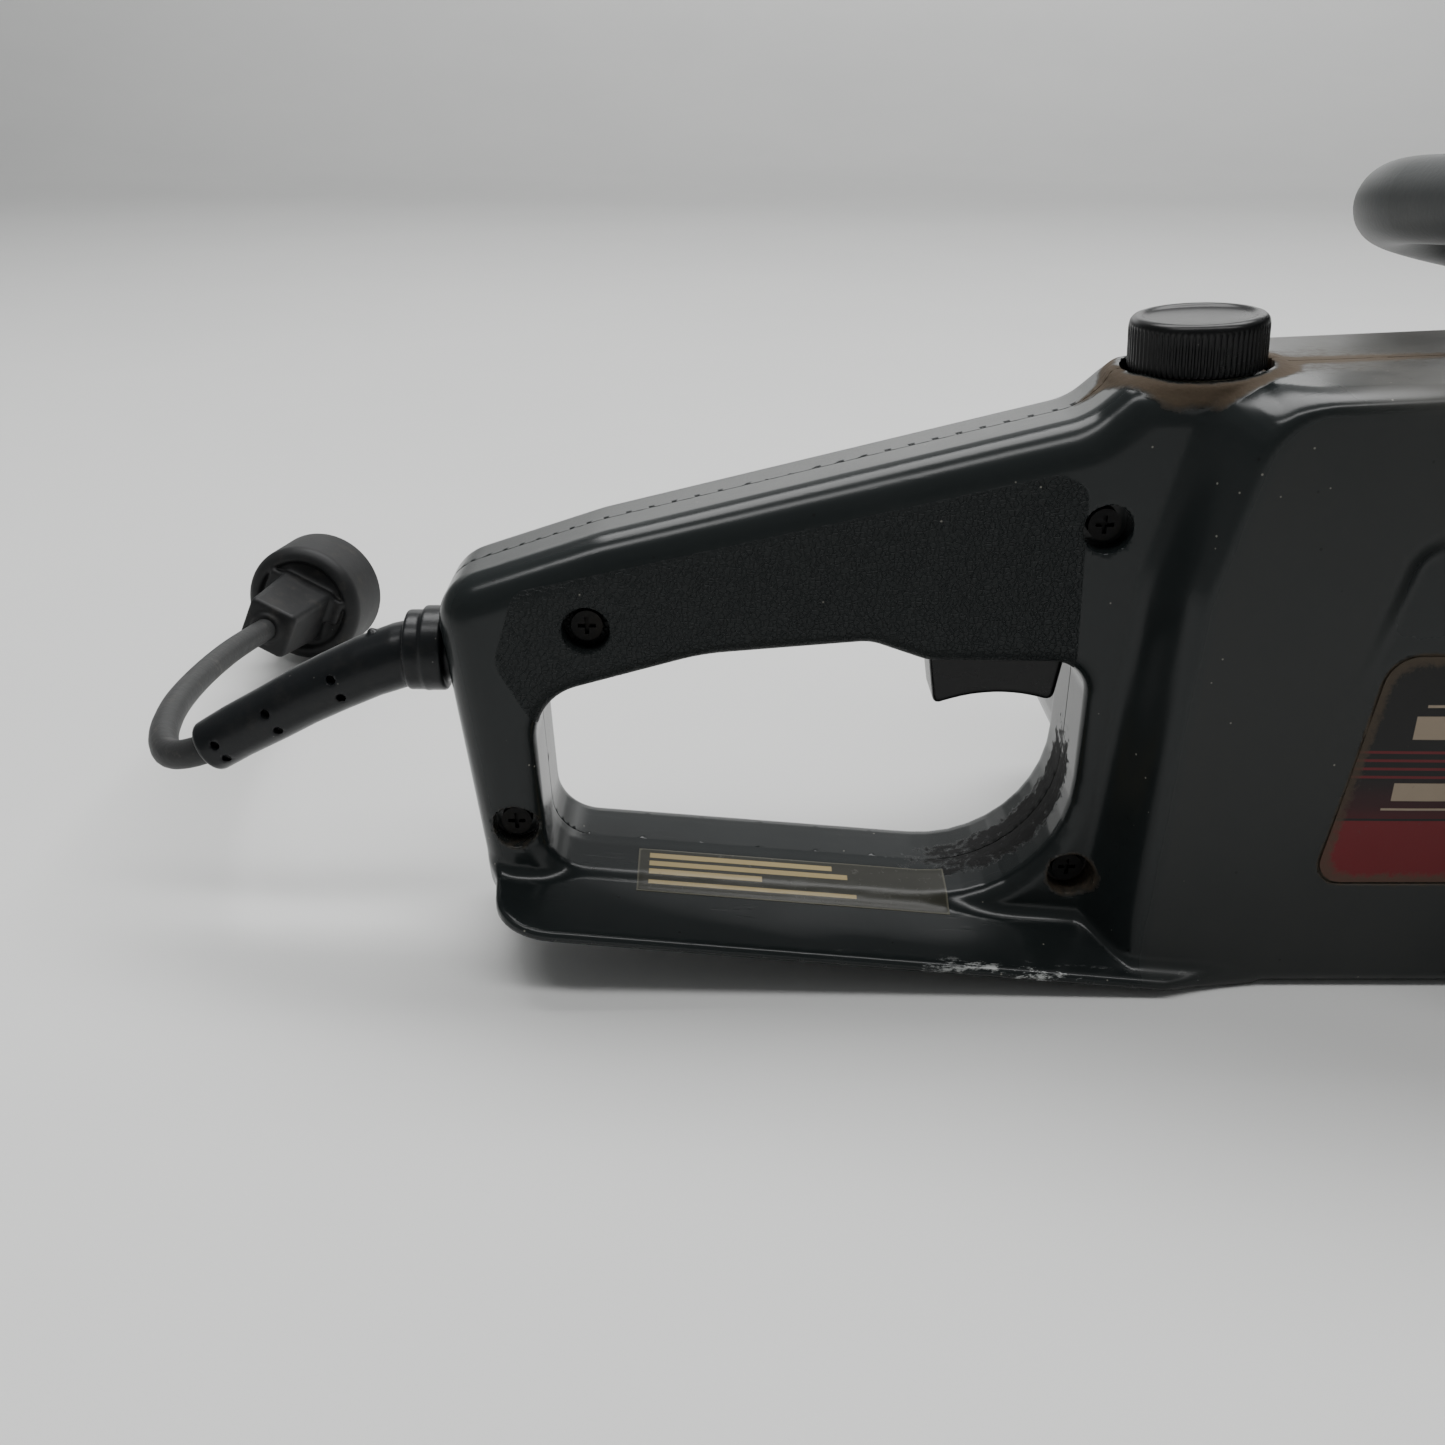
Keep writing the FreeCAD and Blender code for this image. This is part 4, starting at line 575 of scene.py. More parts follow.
def metal_finish(name, dark, light, gloss=(0.28, 0.42), stretch=(0.1, 1, 1), soil=0.3):
    """Worked metal: directional grinding marks, soft stains and small pits."""
    f = Finish(name, Metallic=1.0)
    lines = f.noise(0.9, 3, 0.6, stretch=stretch)
    stain = f.step(f.noise(14, 6, 0.65), 0.42, 0.75)
    colour = f.mix(lines, dark, light)
    colour = f.mix(f.product(stain, soil), colour, (0.06, 0.045, 0.03))
    roughness = f.vary(lines, gloss[0], gloss[1])
    roughness = f.vary(f.product(stain, soil), roughness, 0.75)
    pits = f.step(f.cells(3.0, "F1"), 0.10, 0.04)
    return f.done(colour, roughness, [(lines, 0.012), (pits, -0.03)])


def cord_finish():
    """Matt grey jacket with pale wrinkles and dust."""
    f = Finish("cord_jacket")
    cloud = f.noise(9, 5)
    wrinkles = f.noise(2.4, 3, 0.6, stretch=(0.8, 0.8, 1.6), distortion=0.6)
    colour = f.mix(cloud, (0.017, 0.0175, 0.018), (0.030, 0.0305, 0.0305))
    soil = f.step(f.noise(4, 6, 0.7), 0.55, 0.75, 0.0, 0.5)
    colour = f.mix(soil, colour, (0.095, 0.088, 0.08))
    return f.done(colour, f.vary(cloud, 0.42, 0.6), [(wrinkles, 0.16), (f.noise(0.5, 3), 0.02)])


def rubber_finish(name, tone, gloss, soil_share):
    """Soft moulding with uneven tone, soil and pale specks."""
    f = Finish(name)
    cloud = f.noise(16, 5)
    colour = f.mix(cloud, tone, tuple(1.5 * value for value in tone))
    soil = f.step(f.noise(7, 6, 0.7), 0.5, 0.78, 0.0, soil_share)
    colour = f.mix(soil, colour, (0.10, 0.088, 0.070))
    specks = f.step(f.cells(4.5, "F1"), 0.06, 0.025)
    colour = f.mix(f.product(specks, 0.35), colour, (0.26, 0.25, 0.23))
    roughness = f.vary(cloud, gloss[0], gloss[1])
    roughness = f.vary(soil, roughness, 0.8)
    return f.done(colour, roughness, [(f.noise(5, 4), 0.08), (f.noise(0.7, 3), 0.025)])


def floor_finish():
    """Pale paper with faint clouds and a few dark specks."""
    f = Finish("floor_paper", roughness=0.62)
    colour = f.mix(f.noise(420, 5, 0.6), (0.60, 0.605, 0.60), (0.69, 0.69, 0.68))
    specks = f.step(f.cells(46, "F1"), 0.010, 0.005)
    colour = f.mix(f.product(specks, 0.6), colour, (0.12, 0.10, 0.07))
    return f.done(colour, None, [(f.noise(1.5, 4), 0.05)])


def side_label_finish():
    """Printed bands: black, thin red lines, a dark red fade, a black rule and bright red."""
    f = Finish("side_label", roughness=0.34)
    height = f.math("MULTIPLY", f.axis("Z"), 1000.0)
    forward = f.math("ADD", f.math("MULTIPLY", f.axis("X"), 1000.0), float(ORIGIN[0]))
    black, deep, bright = (0.004, 0.0038, 0.0035), (0.024, 0.0035, 0.005), (0.115, 0.006, 0.009)
    cream = (0.25, 0.20, 0.145)
    fade = f.mix(f.step(height, 62.0, 53.5), black, deep)
    fade = f.mix(f.step(height, 54.0, 46.5), fade, (0.066, 0.0045, 0.007))
    colour = f.mix(f.step(height, 63.0, 63.3), fade, black)
    for rule in (67.6, 65.4, 63.2, 61.0):
        line = f.step(f.math("ABSOLUTE", f.math("SUBTRACT", height, rule)), 0.45, 0.25)
        colour = f.mix(line, colour, (0.105, 0.007, 0.010))
    colour = f.mix(f.step(height, 49.3, 49.1), colour, bright)
    rule = f.step(f.math("ABSOLUTE", f.math("SUBTRACT", height, 49.4)), 0.4, 0.25)
    colour = f.mix(rule, colour, black)
    for low, high, start in ((79.2, 79.9, 166.0), (71.0, 77.0, 164.0), (52.0, 52.6, 160.0),
                             (54.6, 59.4, 162.0)):
        bar = f.product(f.step(height, low - 0.1, low + 0.1), f.step(height, high + 0.1, high - 0.1),
                        f.step(forward, start - 0.1, start + 0.1), f.step(forward, 203.1, 202.9))
        colour = f.mix(bar, colour, cream)
    wear = f.step(f.noise(3, 6, 0.75), 0.62, 0.72)
    colour = f.mix(f.product(wear, 0.35), colour, (0.05, 0.045, 0.04))
    dirt = f.step(f.math("ADD", f.mask("rim"), f.noise(1.6, 5, 0.7)), 0.95, 1.35)
    colour = f.mix(f.product(dirt, 0.8), colour, (0.07, 0.055, 0.04))
    roughness = f.vary(dirt, f.vary(wear, 0.3, 0.5), 0.85)
    return f.done(colour, roughness, [(f.noise(9, 3), 0.05), (f.noise(0.6, 3), 0.01)])


def lower_label_finish():
    """Dark olive plate with plain gold bars and a worn pale border."""
    f = Finish("lower_label", roughness=0.32)
    along = f.mask("along")
    across = f.mask("across")
    gold, olive = (0.30, 0.235, 0.11), (0.020, 0.020, 0.014)
    colour = olive
    for row, start, end in ((13.6, 3.0, 52.0), (10.4, 3.0, 56.0), (7.2, 3.0, 33.0), (3.6, 3.0, 58.0)):
        tall = 0.95 if row > 5 else 0.65
        bar = f.product(
            f.step(f.math("ABSOLUTE", f.math("SUBTRACT", across, row)), tall + 0.12, tall - 0.12),
            f.step(along, start - 0.15, start + 0.15), f.step(along, end + 0.15, end - 0.15))
        colour = f.mix(bar, colour, gold)
    wear = f.step(f.noise(2.2, 6, 0.75), 0.60, 0.70)
    colour = f.mix(f.product(wear, 0.4), colour, (0.04, 0.036, 0.028))
    edge = f.step(f.mask("rim"), 0.35, 0.85)
    colour = f.mix(f.product(edge, 0.7), colour, (0.10, 0.095, 0.07))
    return f.done(colour, f.vary(wear, 0.26, 0.5), [(f.noise(6, 3), 0.04)])


# name: darkest and lightest colour, gloss range, grain depth, grain size and share of dust
PLASTICS = {
    "handle_plastic": ((0.038, 0.041, 0.041), (0.055, 0.058, 0.058), (0.34, 0.5), 0.05),
    "cover_plastic": ((0.010, 0.0125, 0.013), (0.016, 0.019, 0.0195), (0.26, 0.42), 0.04, 1.2, 0.35),
    "black_plastic": ((0.0016, 0.0018, 0.0021), (0.0032, 0.0035, 0.0038), (0.22, 0.34), 0.02, 1.2,
                      0.03),
    "carbon": ((0.012, 0.012, 0.012), (0.024, 0.024, 0.024), (0.5, 0.65), 0.06, 0.5, 0.05),
    "tank_plastic": ((0.42, 0.40, 0.33), (0.55, 0.53, 0.45), (0.3, 0.45), 0.04),
}
# name: darkest and lightest colour, gloss range, stretch of the grinding marks and share of soil
METALS = {
    "zinc_steel": ((0.50, 0.49, 0.46), (0.66, 0.65, 0.62)),
    # black screws, darkened further as painted shade of the screw recesses
    "black_screw": ((0.010, 0.010, 0.010), (0.022, 0.022, 0.022), (0.45, 0.6), (0.1, 1, 1), 0.15),
    "bar_steel": ((0.42, 0.43, 0.44), (0.58, 0.59, 0.60), (0.26, 0.4), (0.04, 1, 1), 0.35),
    "chain_steel": ((0.20, 0.20, 0.21), (0.33, 0.33, 0.34), (0.3, 0.5)),
    "spike_steel": ((0.10, 0.10, 0.105), (0.17, 0.17, 0.175), (0.35, 0.5)),
    "shaft_steel": ((0.45, 0.45, 0.46), (0.6, 0.6, 0.61), (0.2, 0.3), (1, 0.1, 1), 0.1),
    "laminations": ((0.12, 0.12, 0.13), (0.24, 0.24, 0.25), (0.4, 0.55), (0.1, 3, 0.1)),
    "copper_wire": ((0.50, 0.17, 0.07), (0.68, 0.27, 0.12), (0.25, 0.4), (1, 0.2, 1), 0.15),
    "brass": ((0.52, 0.35, 0.13), (0.66, 0.47, 0.20), (0.25, 0.4)),
    "cast_aluminium": ((0.34, 0.34, 0.35), (0.48, 0.48, 0.49), (0.42, 0.6), (1, 1, 1), 0.2),
    "blade_brass": ((0.58, 0.50, 0.30), (0.70, 0.62, 0.40), (0.22, 0.36), (1, 0.15, 1), 0.25),
}
FINISHES = {
    "housing_plastic": housing_finish(),
    "rubber": rubber_finish("rubber", (0.0042, 0.0050, 0.0058), (0.24, 0.36), 0.08),
    "plug_rubber": rubber_finish("plug_rubber", (0.0075, 0.0078, 0.0082), (0.42, 0.6), 0.2),
    "cord_jacket": cord_finish(),
    "side_label": side_label_finish(),
    "lower_label": lower_label_finish(),
}
FINISHES.update({name: plastic_finish(name, *looks) for name, looks in PLASTICS.items()})
FINISHES.update({name: metal_finish(name, *looks) for name, looks in METALS.items()})


# ---- housing ----
def guard_height(x, y):
    """Top of the lower guard: level with the opening's floor inside, lower at its outer edge."""
    inner = 21.6 - 0.0886 * x
    outer = 16.0 - 0.096 * x
    return inner + (outer - inner) * (-4.0 - y) / 36.5


def side_dent(x, z):
    """Depth of the soft hollow round the label on the right side."""
    return 2.4 * smooth(DENT(x, z), 0, -8) * smooth(z, 52, 120)


def half_width(x, z, side):
    """Half of the housing's width, and how far it has widened from handle to body."""
    wide = smooth(SIDE(x, z), RAMP, 0)
    width = HANDLE_HALF + (BODY_HALF - HANDLE_HALF) * wide
    if side < 0:
        width = width - side_dent(x, z)
    return width, wide


def outer_form(x, y, z, side):
    """Outside of the housing on one side, with the guard or the motor bulge, and the collar."""
    width, wide = half_width(x, z, side)
    silhouette = np.minimum(HANDLE(x, z), BODY(x, z))
    form = meet(silhouette, np.abs(y) - width, HANDLE_ROUND - (HANDLE_ROUND - BODY_ROUND) * wide)
    if side < 0:
        slope = 0.14 * np.clip(-4 - y, 0, 20) * smooth(z, 60, 32)
        form = cut(form, OPENING(x, z + slope), OPENING_ROUND)
        guard_top = z - guard_height(x, y) + 0.25
        guard_low = guard_height(x, y) - 3.2 - 0.13 * np.clip(40.5 + y, 0, 40) - z
        guard = meet(meet(guard_top, guard_low, GUARD_ROUND), GUARD(x, y), GUARD_ROUND)
        form = fuse(form, guard, 0.4 + 3.2 * smooth(OPENING(x, np.minimum(z, 45.0)), -1, 9))
        pad = box_form(x, y, z, (282.7, -44.8, 44), (350, -30, 80), 2)
        form = np.minimum(form, pad)
    else:
        form = cut(form, OPENING(x, z), OPENING_ROUND)
        bulge = meet(BULGE(x, z), np.maximum(BULGE_INNER - y, y - BULGE_OUTER), BULGE_ROUND)
        form = fuse(form, bulge, 5.0)
    height, away = cap_frame(x, y, z)
    collar = meet(away - COLLAR_RADIUS, np.maximum(height - 0.6, -4.6 - height), 1.5)
    return fuse(form, collar, 2.6)


def housing_field(side):
    """Shell of one housing half, with its posts, recesses and openings."""
    def field(x, y, z):
        outer = outer_form(x, y, z, side)
        wide = half_width(x, z, side)[1]
        shell = cut(outer, outer + WALL * (1 + 4.4 * wide * (1 - wide)))
        for place, half in SCREWS:
            if side < 0:
                post = rod_y(x, y, z, place, RECESS_RADIUS + 1.8, -half - 3, RECESS_DEPTH - half + 2)
                post = np.minimum(post, rod_y(x, y, z, place, POST_RADIUS, -half, 1))
            else:
                post = rod_y(x, y, z, place, POST_RADIUS, -1, half)
            shell = np.minimum(shell, meet(post, outer + 0.4))
        if side < 0:
            shell = meet(shell, y + SEAM_GAP)
            for place, half in SCREWS:
                recess = rod_y(x, y, z, place, RECESS_RADIUS, -90, RECESS_DEPTH - half)
                shell = cut(cut(shell, recess, 0.7), rod_y(x, y, z, place, SCREW_BORE, -90, 3))
            label_floor = y + BODY_HALF - side_dent(x, z) - LABEL_DEPTH
            shell = cut(shell, meet(LABEL(x, z) - 0.45, label_floor), 0.5)
            shell = cut(shell, rod_y(x, y, z, (DRIVE_X, DRIVE_Z), SHAFT_HOLE, -60, -30), 0.6)
            for stud_x in STUD_XS:
                shell = cut(shell, rod_y(x, y, z, (stud_x, DRIVE_Z), STUD_HOLE, -60, -30))
        else:
            shell = meet(shell, SEAM_GAP - y)
            for row in range(VENT_ROWS):
                low = VENT_LOW + VENT_PITCH * row
                vent = box_form(x, y, z, (135, 90, low), (232, 99, low + VENT_TALL), 1.9)
                shell = cut(shell, vent, 0.6)
            shell = cut(shell, rod_y(x, y, z, LOCK_PLACE, LOCK_HOLE, 12, 30), 0.5)
        shell = cut(shell, box_form(x, y, z, *TRIGGER_SLOT, 1.0), 0.8)
        boot_hole = meet(np.hypot(y, z - BOOT_HOLE_Z) - BOOT_HOLE, np.maximum(-90 - x, x + 58))
        shell = cut(shell, boot_hole)
        height, away = cap_frame(x, y, z)
        shell = cut(shell, meet(away - CAP_SEAT_RADIUS, -1.3 - height, 0.6), 0.5)
        return cut(shell, meet(away - FILLER_BORE, -14 - height))
    return field


def housing_masks(points):
    """Signed distances, dirt shares and the painted shade of the label's hollow at the housing's
    vertices, for its finish.
    """
    x, y, z = points.T
    side = smooth(SIDE(x, z), 1.5, -4) * smooth(np.abs(y), 29.5, 33)
    # the hollow round the label, which the finish leaves darker as painted shade
    dent_shade = smooth(DENT(x, z), 1, -7) * smooth(z, 60, 118) * (y < 0)
    height, away = cap_frame(x, y, z)
    ring = np.exp(-((away - 20.3) / 2.2) ** 2) * smooth(height, -9, -1.5)
    seam = np.exp(-(y / 3.0) ** 2) * smooth(x, 76, 90) * smooth(x, 240, 130) * smooth(z, 132, 140)
    ledge = smooth(z, 147, 151) * smooth(x, 122, 132) * smooth(x, 210, 140) * smooth(np.abs(y), 30, 8)
    opening = smooth(np.abs(OPENING(x, z)), 6, 1.5)
    low_front = smooth(z, 66, 20) * smooth(x, 10, 84) + 0.8 * smooth(x, 76, 90) * smooth(z, 100, 30)
    grime = opening * np.clip(low_front, 0, 1) * smooth(np.abs(y), 15, 5)
    label_edge = 0.75 * np.exp(-(LABEL(x, z) / 1.3) ** 2) * (y < -28)
    screws = np.zeros(len(points))
    for place, share in zip(HANDLE_SCREWS, (0.35, 0.3, 0.8, 1.0)):
        screws += share * np.exp(-((np.hypot(x - place[0], z - place[1]) - 6) / 1.5) ** 2) * (y < 0)
    return {
        "panel": np.where(np.abs(y) > 2, PANEL(x, z), 9.0),
        # dust on the body sides, cut back in the label's hollow as painted shade
        "pale_share": side * (1 - 0.8 * dent_shade),
        "top": smooth(z, 148, 153.5) * smooth(x, 122, 150),
        "sawdust": np.clip(ring + 0.9 * seam + 0.45 * ledge + label_edge + 0.6 * screws, 0, 1),
        "grime": grime,
        "scuff": smooth(y, -36, -40) * smooth(x, 20, 80),
    }


def make_housing():
    """Both housing halves."""
    for name, side, low, high, step in (
            ("right_shell", -1, (-76, -46.5, -3), (356, 1.5, 162), 1.0),
            ("left_shell", 1, (-76, -1.5, -3), (356, 99, 162), 1.4)):
        field = housing_field(side)
        points, quads = surface_points(field, low, high, step)
        node = name.replace("shell", "housing")
        add_piece(name, points, quads, "saw", FINISHES["housing_plastic"],
                  [node], masks=housing_masks(points), field=field)


# ---- cap, boot, cord and plug ----
def make_cap():
    """Knurled filler cap with a dished top, turned about the leaning filler axis."""
    ribs, around = 72, 576
    turn = np.linspace(0, 2 * math.pi, around, endpoint=False)
    groove = np.clip(1.9 * (0.5 - 0.5 * np.cos(turn * ribs)) - 0.25, 0, 1)
    profile = [
        (10.0, -10.8, 0), (10.1, -10.4, 0), (10.1, 0.3, 0), (14.9, 0.3, 0), (15.4, 0.45, 0),
        (15.7, 0.8, 0.3), (15.75, 1.3, 1), (15.75, 4.0, 1), (15.75, 7.0, 1), (15.75, 9.6, 1),
        (15.72, 10.2, 0.5), (15.62, 10.8, 0), (15.45, 11.4, 0), (15.1, 11.9, 0), (14.6, 12.3, 0),
        (14.1, 12.47, 0), (13.5, 12.5, 0), (13.0, 12.4, 0), (12.6, 12.1, 0), (12.2, 11.85, 0),
        (11.4, 11.68, 0), (9.0, 11.45, 0), (6.0, 11.25, 0), (3.0, 11.15, 0), (1.0, 11.12, 0),
    ]
    rings = []
    for radius, height, knurl in profile:
        size = radius - 0.42 * knurl * groove
        across, y = size * np.cos(turn), size * np.sin(turn)
        x = CAP_PLACE[0] + across * math.cos(CAP_LEAN) - height * math.sin(CAP_LEAN)
        z = CAP_PLACE[1] + across * math.sin(CAP_LEAN) + height * math.cos(CAP_LEAN)
        rings.append(np.stack([x, y, z], axis=1))
    points, faces = stack_of_rings(rings)
    add_piece("filler_knob", points, faces, "filler_cap",
              FINISHES["black_plastic"], ["oil_cap"], sharp=50)


def along_line(x, z, line):
    """Distance in the X-Z plane to a polyline, and the share of the way along it."""
    best = np.full(np.broadcast(x, z).shape, 1e9)
    share = np.zeros_like(best)
    runs = len(line) - 1
    for index in range(runs):
        (x0, z0), (x1, z1) = line[index], line[index + 1]
        length2 = (x1 - x0) ** 2 + (z1 - z0) ** 2
        t = np.clip(((x - x0) * (x1 - x0) + (z - z0) * (z1 - z0)) / length2, 0, 1)
        away = np.hypot(x - x0 - t * (x1 - x0), z - z0 - t * (z1 - z0))
        closer = away < best
        best = np.where(closer, away, best)
        share = np.where(closer, (index + t) / runs, share)
    return best, share


def boot_field(x, y, z):
    """Tapered strain relief with a stepped collar, cross holes and a flange inside the wall."""
    away, share = along_line(x, z, BOOT_LINE)
    away, share = np.broadcast_arrays(away, share)
    sleeve = np.hypot(away, y) - (7.1 + 1.5 * share)
    end_x, end_z = -0.862, -0.507
    past_end = (x + 136.4) * end_x + (z - 51.7) * end_z
    sleeve = meet(sleeve, past_end, 1.6)
    for height, radius, x0, x1 in ((79.9, 10.3, -80.4, -74.6), (80.4, 10.9, -76.0, -70.4)):
        ring = meet(np.hypot(y, z - height) - radius, np.maximum(x0 - x, x - x1), 0.9)
        sleeve = fuse(sleeve, ring, 0.7)
    for hole_x, hole_z in ((-99.5, 74.4), (-97.4, 69.6), (-117.6, 64.7), (-115.0, 59.9),
                           (-132.0, 55.6), (-129.8, 51.6)):
        hole = meet(np.hypot(x - hole_x, z - hole_z) - 1.15, 4.6 - np.abs(y))
        sleeve = cut(sleeve, hole, 0.35)
    nub = np.sqrt((x + 89.5) ** 2 + y ** 2 + (z - 84.6) ** 2) - 1.2
    sleeve = fuse(sleeve, nub, 0.8)
    neck = meet(np.hypot(y, z - BOOT_HOLE_Z) - 7.0, np.maximum(-76 - x, x + 62.6))
    flange = meet(np.hypot(y, z - BOOT_HOLE_Z) - 9.2, np.maximum(-64.3 - x, x + 62.6), 0.4)
    form = np.minimum(np.minimum(sleeve, neck), flange)
    return cut(form, np.hypot(away, y) - 4.1)


def plug_field(x, y, z):
    """Plug in its own frame: the cord comes in at y = 0 and the blades leave at the far end."""
    turn = math.radians(25)
    across = x * math.cos(turn) - z * math.sin(turn)
    up = x * math.sin(turn) + z * math.cos(turn)
    wide = 9.0 + 0.05 * np.clip(y, 0, GRIP_LENGTH)
    square = meet(np.abs(across) - wide, np.abs(up) - wide, 2.4)
    grip = meet(square, np.maximum(-y, y - GRIP_LENGTH - 4), 1.5)
    radius = np.hypot(x, z)
    far = GRIP_LENGTH + PLUG_DEPTH
    disc = meet(radius - PLUG_RADIUS + 0.02 * (far - y), GRIP_LENGTH - y, 4.2)
    disc = meet(disc, y - far, 1.2)
    hollow = meet(radius - 16.8, y - GRIP_LENGTH - 1.7, 1.0)
    disc = cut(disc, hollow, 1.6)
    bar = box_form(across, y, up, (-15.4, GRIP_LENGTH - 1.2, -1.0), (15.4, GRIP_LENGTH + 6, 9.2), 1.4)
    rings = fuse(disc, bar, 1.0)
    form = fuse(rings, grip, 2.2)
    collar = meet(radius - 6.0, np.maximum(-1.2 - y, y - 4), 1.1)
    form = fuse(form, collar, 1.0)
    for blade_x in BLADE_XS:
        form = cut(form, box_form(x, y, z, (blade_x - 0.8, far - 4, -3.3),
                                  (blade_x + 0.8, far + 2, 3.3)))
    return cut(form, meet(radius - 4.1, y - 8))


def plug_turn():
    """Rotation that takes +Y to the plug's axis the short way round."""
    return np.array(Vector((0, 1, 0)).rotation_difference(Vector(PLUG_AXIS)).to_matrix())


def make_cord():
    """Boot, plug and the free cord between them."""
    points, quads = surface_points(boot_field, (-142, -12.5, 40), (-60, 12.5, 94), 0.55)
    add_piece("boot_sleeve", points, quads, "saw", FINISHES["rubber"], ["cord_boot"])

    far = GRIP_LENGTH + PLUG_DEPTH
    points, quads = surface_points(plug_field, (-24.5, -2.5, -24.5), (24.5, far + 2, 24.5), 0.7)
    points = points @ plug_turn().T + np.array(CORD_ROUTE[-1])
    plug = add_piece("plug_shell", points, quads, "saw", FINISHES["plug_rubber"],
                     ["plug_body"])

    curve = bpy.data.curves.new("cord", "CURVE")
    curve.dimensions = "3D"
    curve.bevel_depth = CORD_DIAMETER / 2000
    curve.bevel_resolution = 8
    curve.resolution_u = 24
    curve.use_fill_caps = True
    spline = curve.splines.new("NURBS")
    spline.points.add(len(CORD_ROUTE) - 1)
    for point, place in zip(spline.points, CORD_ROUTE):
        point.co = (*((np.array(place) - ORIGIN) / 1000), 1)
    spline.order_u = 3
    spline.use_endpoint_u = True
    curve.materials.append(FINISHES["cord_jacket"])
    cord = new_object("supply_cord", curve)
    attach(cord, "saw")
    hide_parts("power_cord")


# ---- trigger and labels ----
def trigger_field(x, y, z):
    """Trigger with a rounded finger face and a bore for its pin."""
    form = meet(TRIGGER(x, z), np.abs(y) - TRIGGER_HALF, 1.6)
    return cut(form, rod_y(x, y, z, TRIGGER_PIVOT, 2.05, -20, 20))


def make_trigger():
    """Trigger, in place of its CAD node."""
    points, quads = surface_points(trigger_field, (46, -9.5, 64), (91, 9.5, 105), 0.6)
    add_piece("finger_trigger", points, quads, "trigger_lever",
              FINISHES["black_plastic"], ["trigger"])


def make_side_label():
    """Printed plate on the floor of the label's recess."""
    edge = rounded_points(LABEL_OUTLINE, 8)
    middle = edge.mean(axis=0)
    edge = middle + (edge - middle) * (1 - 0.004)
    rings, rim = [], []
    for lift, share in [(0.15, 1.0)] + [(0.55, share) for share in np.linspace(1.0, 0.04, 14)]:
        x, z = (middle + (edge - middle) * share).T
        y = -BODY_HALF + side_dent(x, z) + LABEL_DEPTH - lift
        rings.append(np.stack([x, y, z], axis=1))
        rim.append(np.full(len(edge), smooth(share, 0.82, 1.0)))
    points, faces = stack_of_rings(rings)
    rim = np.concatenate(rim + [np.zeros(2)])
    add_piece("side_plate", points, faces, "saw", FINISHES["side_label"],
              ["side_label"], masks={"rim": rim}, sharp=60)


def make_lower_label():
    """Thin plate that follows the lower guard's sloping top."""
    x0, x1, y0, y1 = LOWER_LABEL
    columns, rows = 84, 18
    x, y = np.meshgrid(np.linspace(x0, x1, columns), np.linspace(y0, y1, rows))
    border = np.ones(x.shape, bool)
    border[1:-1, 1:-1] = False
    x, y, border = x.ravel(), y.ravel(), border.ravel()
    deep = np.linspace(-4.0, 6.0, 201)[:, None]
    heights = guard_height(x, y) + deep
    inside = outer_form(x[None, :], y[None, :], heights, -1) < 0
    top = (np.arange(len(deep))[:, None] * inside).max(axis=0)
    z = heights[top, np.arange(len(x))]
    count = len(x)
    points = np.concatenate([np.stack([x, y, z + np.where(border, 0.16, 0.3)], axis=1),
                             np.stack([x, y, z - 0.1], axis=1)])
    faces = []
    for row in range(rows - 1):
        for column in range(columns - 1):
            first = row * columns + column
            square = (first, first + 1, first + columns + 1, first + columns)
            faces.append(square)
            faces.append(tuple(count + k for k in reversed(square)))
    edge = list(range(columns)) + [row * columns + columns - 1 for row in range(1, rows)]
    edge += [(rows - 1) * columns + k for k in range(columns - 2, -1, -1)]
    edge += [row * columns for row in range(rows - 2, 0, -1)]
    for here, after in zip(edge, edge[1:] + edge[:1]):
        faces.append((here, count + here, count + after, after))
    masks = {"rim": np.tile(border, 2), "along": np.tile(x - x0, 2), "across": np.tile(y - y0, 2)}
    add_piece("lower_plate", points, faces, "saw", FINISHES["lower_label"],
              ["lower_label"], masks=masks, sharp=60)


# ---- CAD nodes that keep their own shape ----
NODE_FINISH = {
    "black_screw": ["housing_screws", "handle_screws", "guard_screws", "gear_case_screws",
                    "clamp_screws"],
    "handle_plastic": ["front_handle"],
    "cover_plastic": ["sprocket_cover", "hand_guard"],
    "zinc_steel": ["bar_studs", "bar_nuts", "tension_screw", "tension_block", "sprocket_clip"],
    "spike_steel": ["bumper_spikes"],
    "bar_steel": ["guide_bar"],
    "chain_steel": ["saw_chain", "nose_sprocket", "drive_sprocket"],
    "shaft_steel": ["armature_shaft", "output_shaft", "motor_bearings", "output_bearings",
                    "trigger_pin", "return_springs", "brush_springs", "pinion", "drive_gear"],
    "laminations": ["armature_core", "field_core"],
    "copper_wire": ["armature_windings", "field_coils", "commutator"],
    "brass": ["brush_holders"],
    "carbon": ["carbon_brushes"],
    "cast_aluminium": ["gear_case", "gear_cover", "end_bracket"],
    "tank_plastic": ["oil_tank", "oil_line"],
    "black_plastic": ["motor_fan", "oil_pump", "switch_body", "switch_plunger", "lock_button",
                      "cord_clamp", "switch_leads", "motor_leads"],
    "rubber": ["cap_seal"],
    "cord_jacket": ["inner_cord"],
    "blade_brass": ["plug_blades"],
}


def finish_nodes():
    """Give the pieces that keep their CAD shape their materials."""
    for finish, names in NODE_FINISH.items():
        for name in names:
            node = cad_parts[name]
            for slot in node.material_slots:
                slot.material = FINISHES[finish]


# ---- floor, light and camera ----
def area_light(name, place, aim, size, power):
    """Rectangular light at a place, turned towards aim; metres and watts."""
    light = bpy.data.lights.new(name, "AREA")
    light.shape = "RECTANGLE"
    light.size, light.size_y = size
    light.energy = power
    lamp = new_object(name, light)
    lamp.location = place
    lamp.rotation_euler = (Vector(aim) - Vector(place)).to_track_quat("-Z", "Y").to_euler()


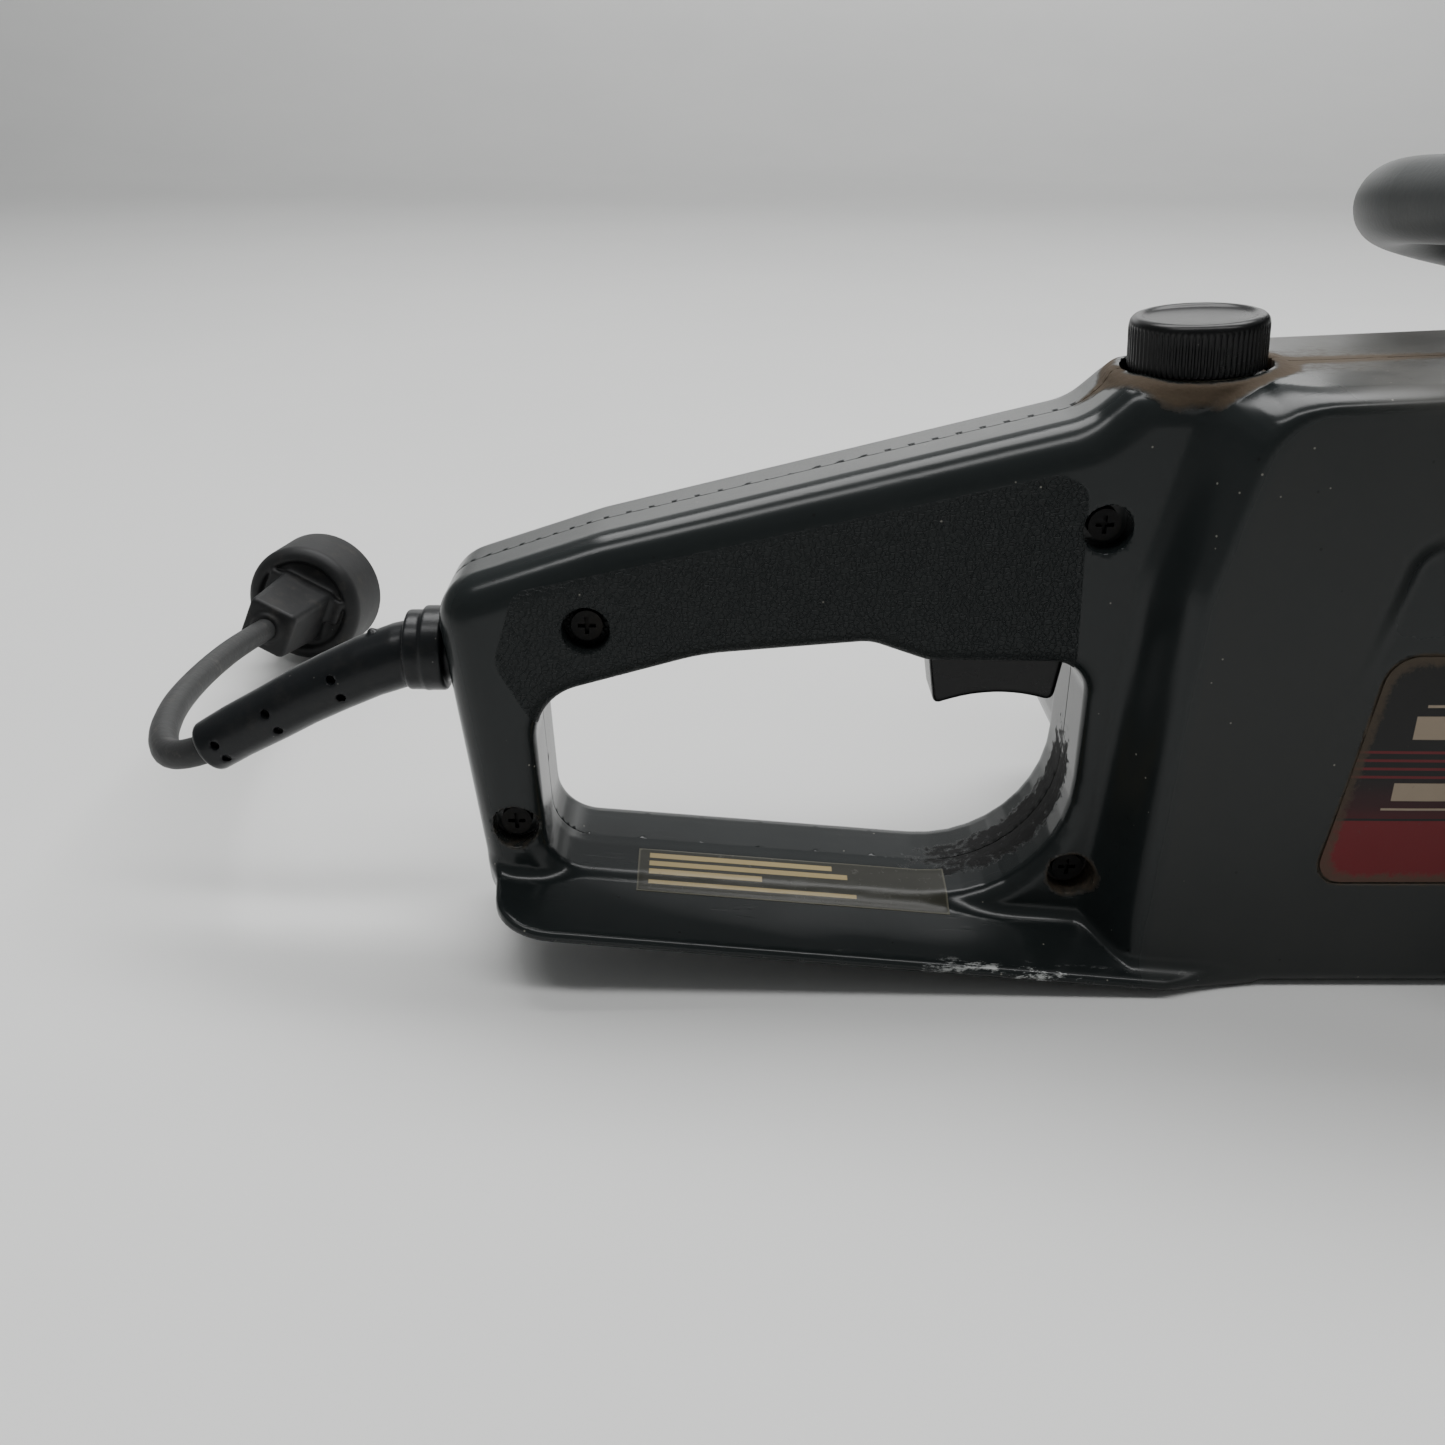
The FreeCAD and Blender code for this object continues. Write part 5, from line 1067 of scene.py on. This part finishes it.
def make_floor():
    """Floor that curves up far behind the object on every side, so that no horizon shows."""
    radii = np.concatenate([np.linspace(0.06, FLAT_RADIUS, 24),
                            np.linspace(FLAT_RADIUS + 0.2, FLOOR_RADIUS, 23)])
    rise = smooth(radii, FLAT_RADIUS, FLOOR_RADIUS + 0.6)
    turn = np.linspace(0, 2 * math.pi, FLOOR_SIDES, endpoint=False)
    points = [(0.0, 0.0, FLOOR_HEIGHT)]
    for radius, share in zip(radii, rise):
        points += [(radius * math.cos(t), radius * math.sin(t), FLOOR_HEIGHT + FLOOR_RISE * share)
                   for t in turn]
    around = [(k, (k + 1) % FLOOR_SIDES) for k in range(FLOOR_SIDES)]
    faces = [(0, 1 + k, 1 + after) for k, after in around]
    for row in range(len(radii) - 1):
        low = 1 + FLOOR_SIDES * row
        high = low + FLOOR_SIDES
        faces += [(low + k, high + k, high + after, low + after) for k, after in around]
    mesh = bpy.data.meshes.new("floor")
    mesh.from_pydata(points, [], faces)
    mesh.polygons.foreach_set("use_smooth", np.ones(len(mesh.polygons), bool))
    mesh.materials.append(floor_finish())
    floor = new_object("floor", mesh)


def make_light():
    """Pale room with a long soft light above the object and a broad one behind it."""
    world = bpy.data.worlds.new("studio")
    world.use_nodes = True
    background = world.node_tree.nodes["Background"]
    background.inputs["Color"].default_value = (0.93, 0.95, 0.955, 1)
    background.inputs["Strength"].default_value = 0.27
    bpy.context.scene.world = world
    area_light("strip", (-0.15, -0.40, 1.45), (-0.1, -0.05, 0.10), (2.2, 0.24), 15)
    area_light("overhead", (0.0, 0.7, 1.75), (0.0, 0.0, 0.0), (2.2, 0.8), 46)
    area_light("back", (0.0, 2.5, 1.6), (0.0, 0.0, 0.1), (3.2, 1.6), 7)
    area_light("wall", (0.3, 3.2, 3.0), (0.6, 6.5, 1.6), (5.0, 1.0), 210)


def make_camera():
    """The photograph's view: from the saw's right, slightly above the middle of the handle."""
    camera = bpy.data.cameras.new("camera")
    camera.sensor_width = 36
    camera.lens = 35.0
    camera.clip_start = 0.01
    eye = new_object("camera", camera)
    eye.location = tuple((EYE - ORIGIN) / 1000)
    eye.rotation_euler = (math.radians(64.2), 0, 0)
    bpy.context.scene.camera = eye


make_housing()
make_cap()
make_cord()
make_trigger()
make_side_label()
make_lower_label()
finish_nodes()
make_floor()
make_light()
make_camera()
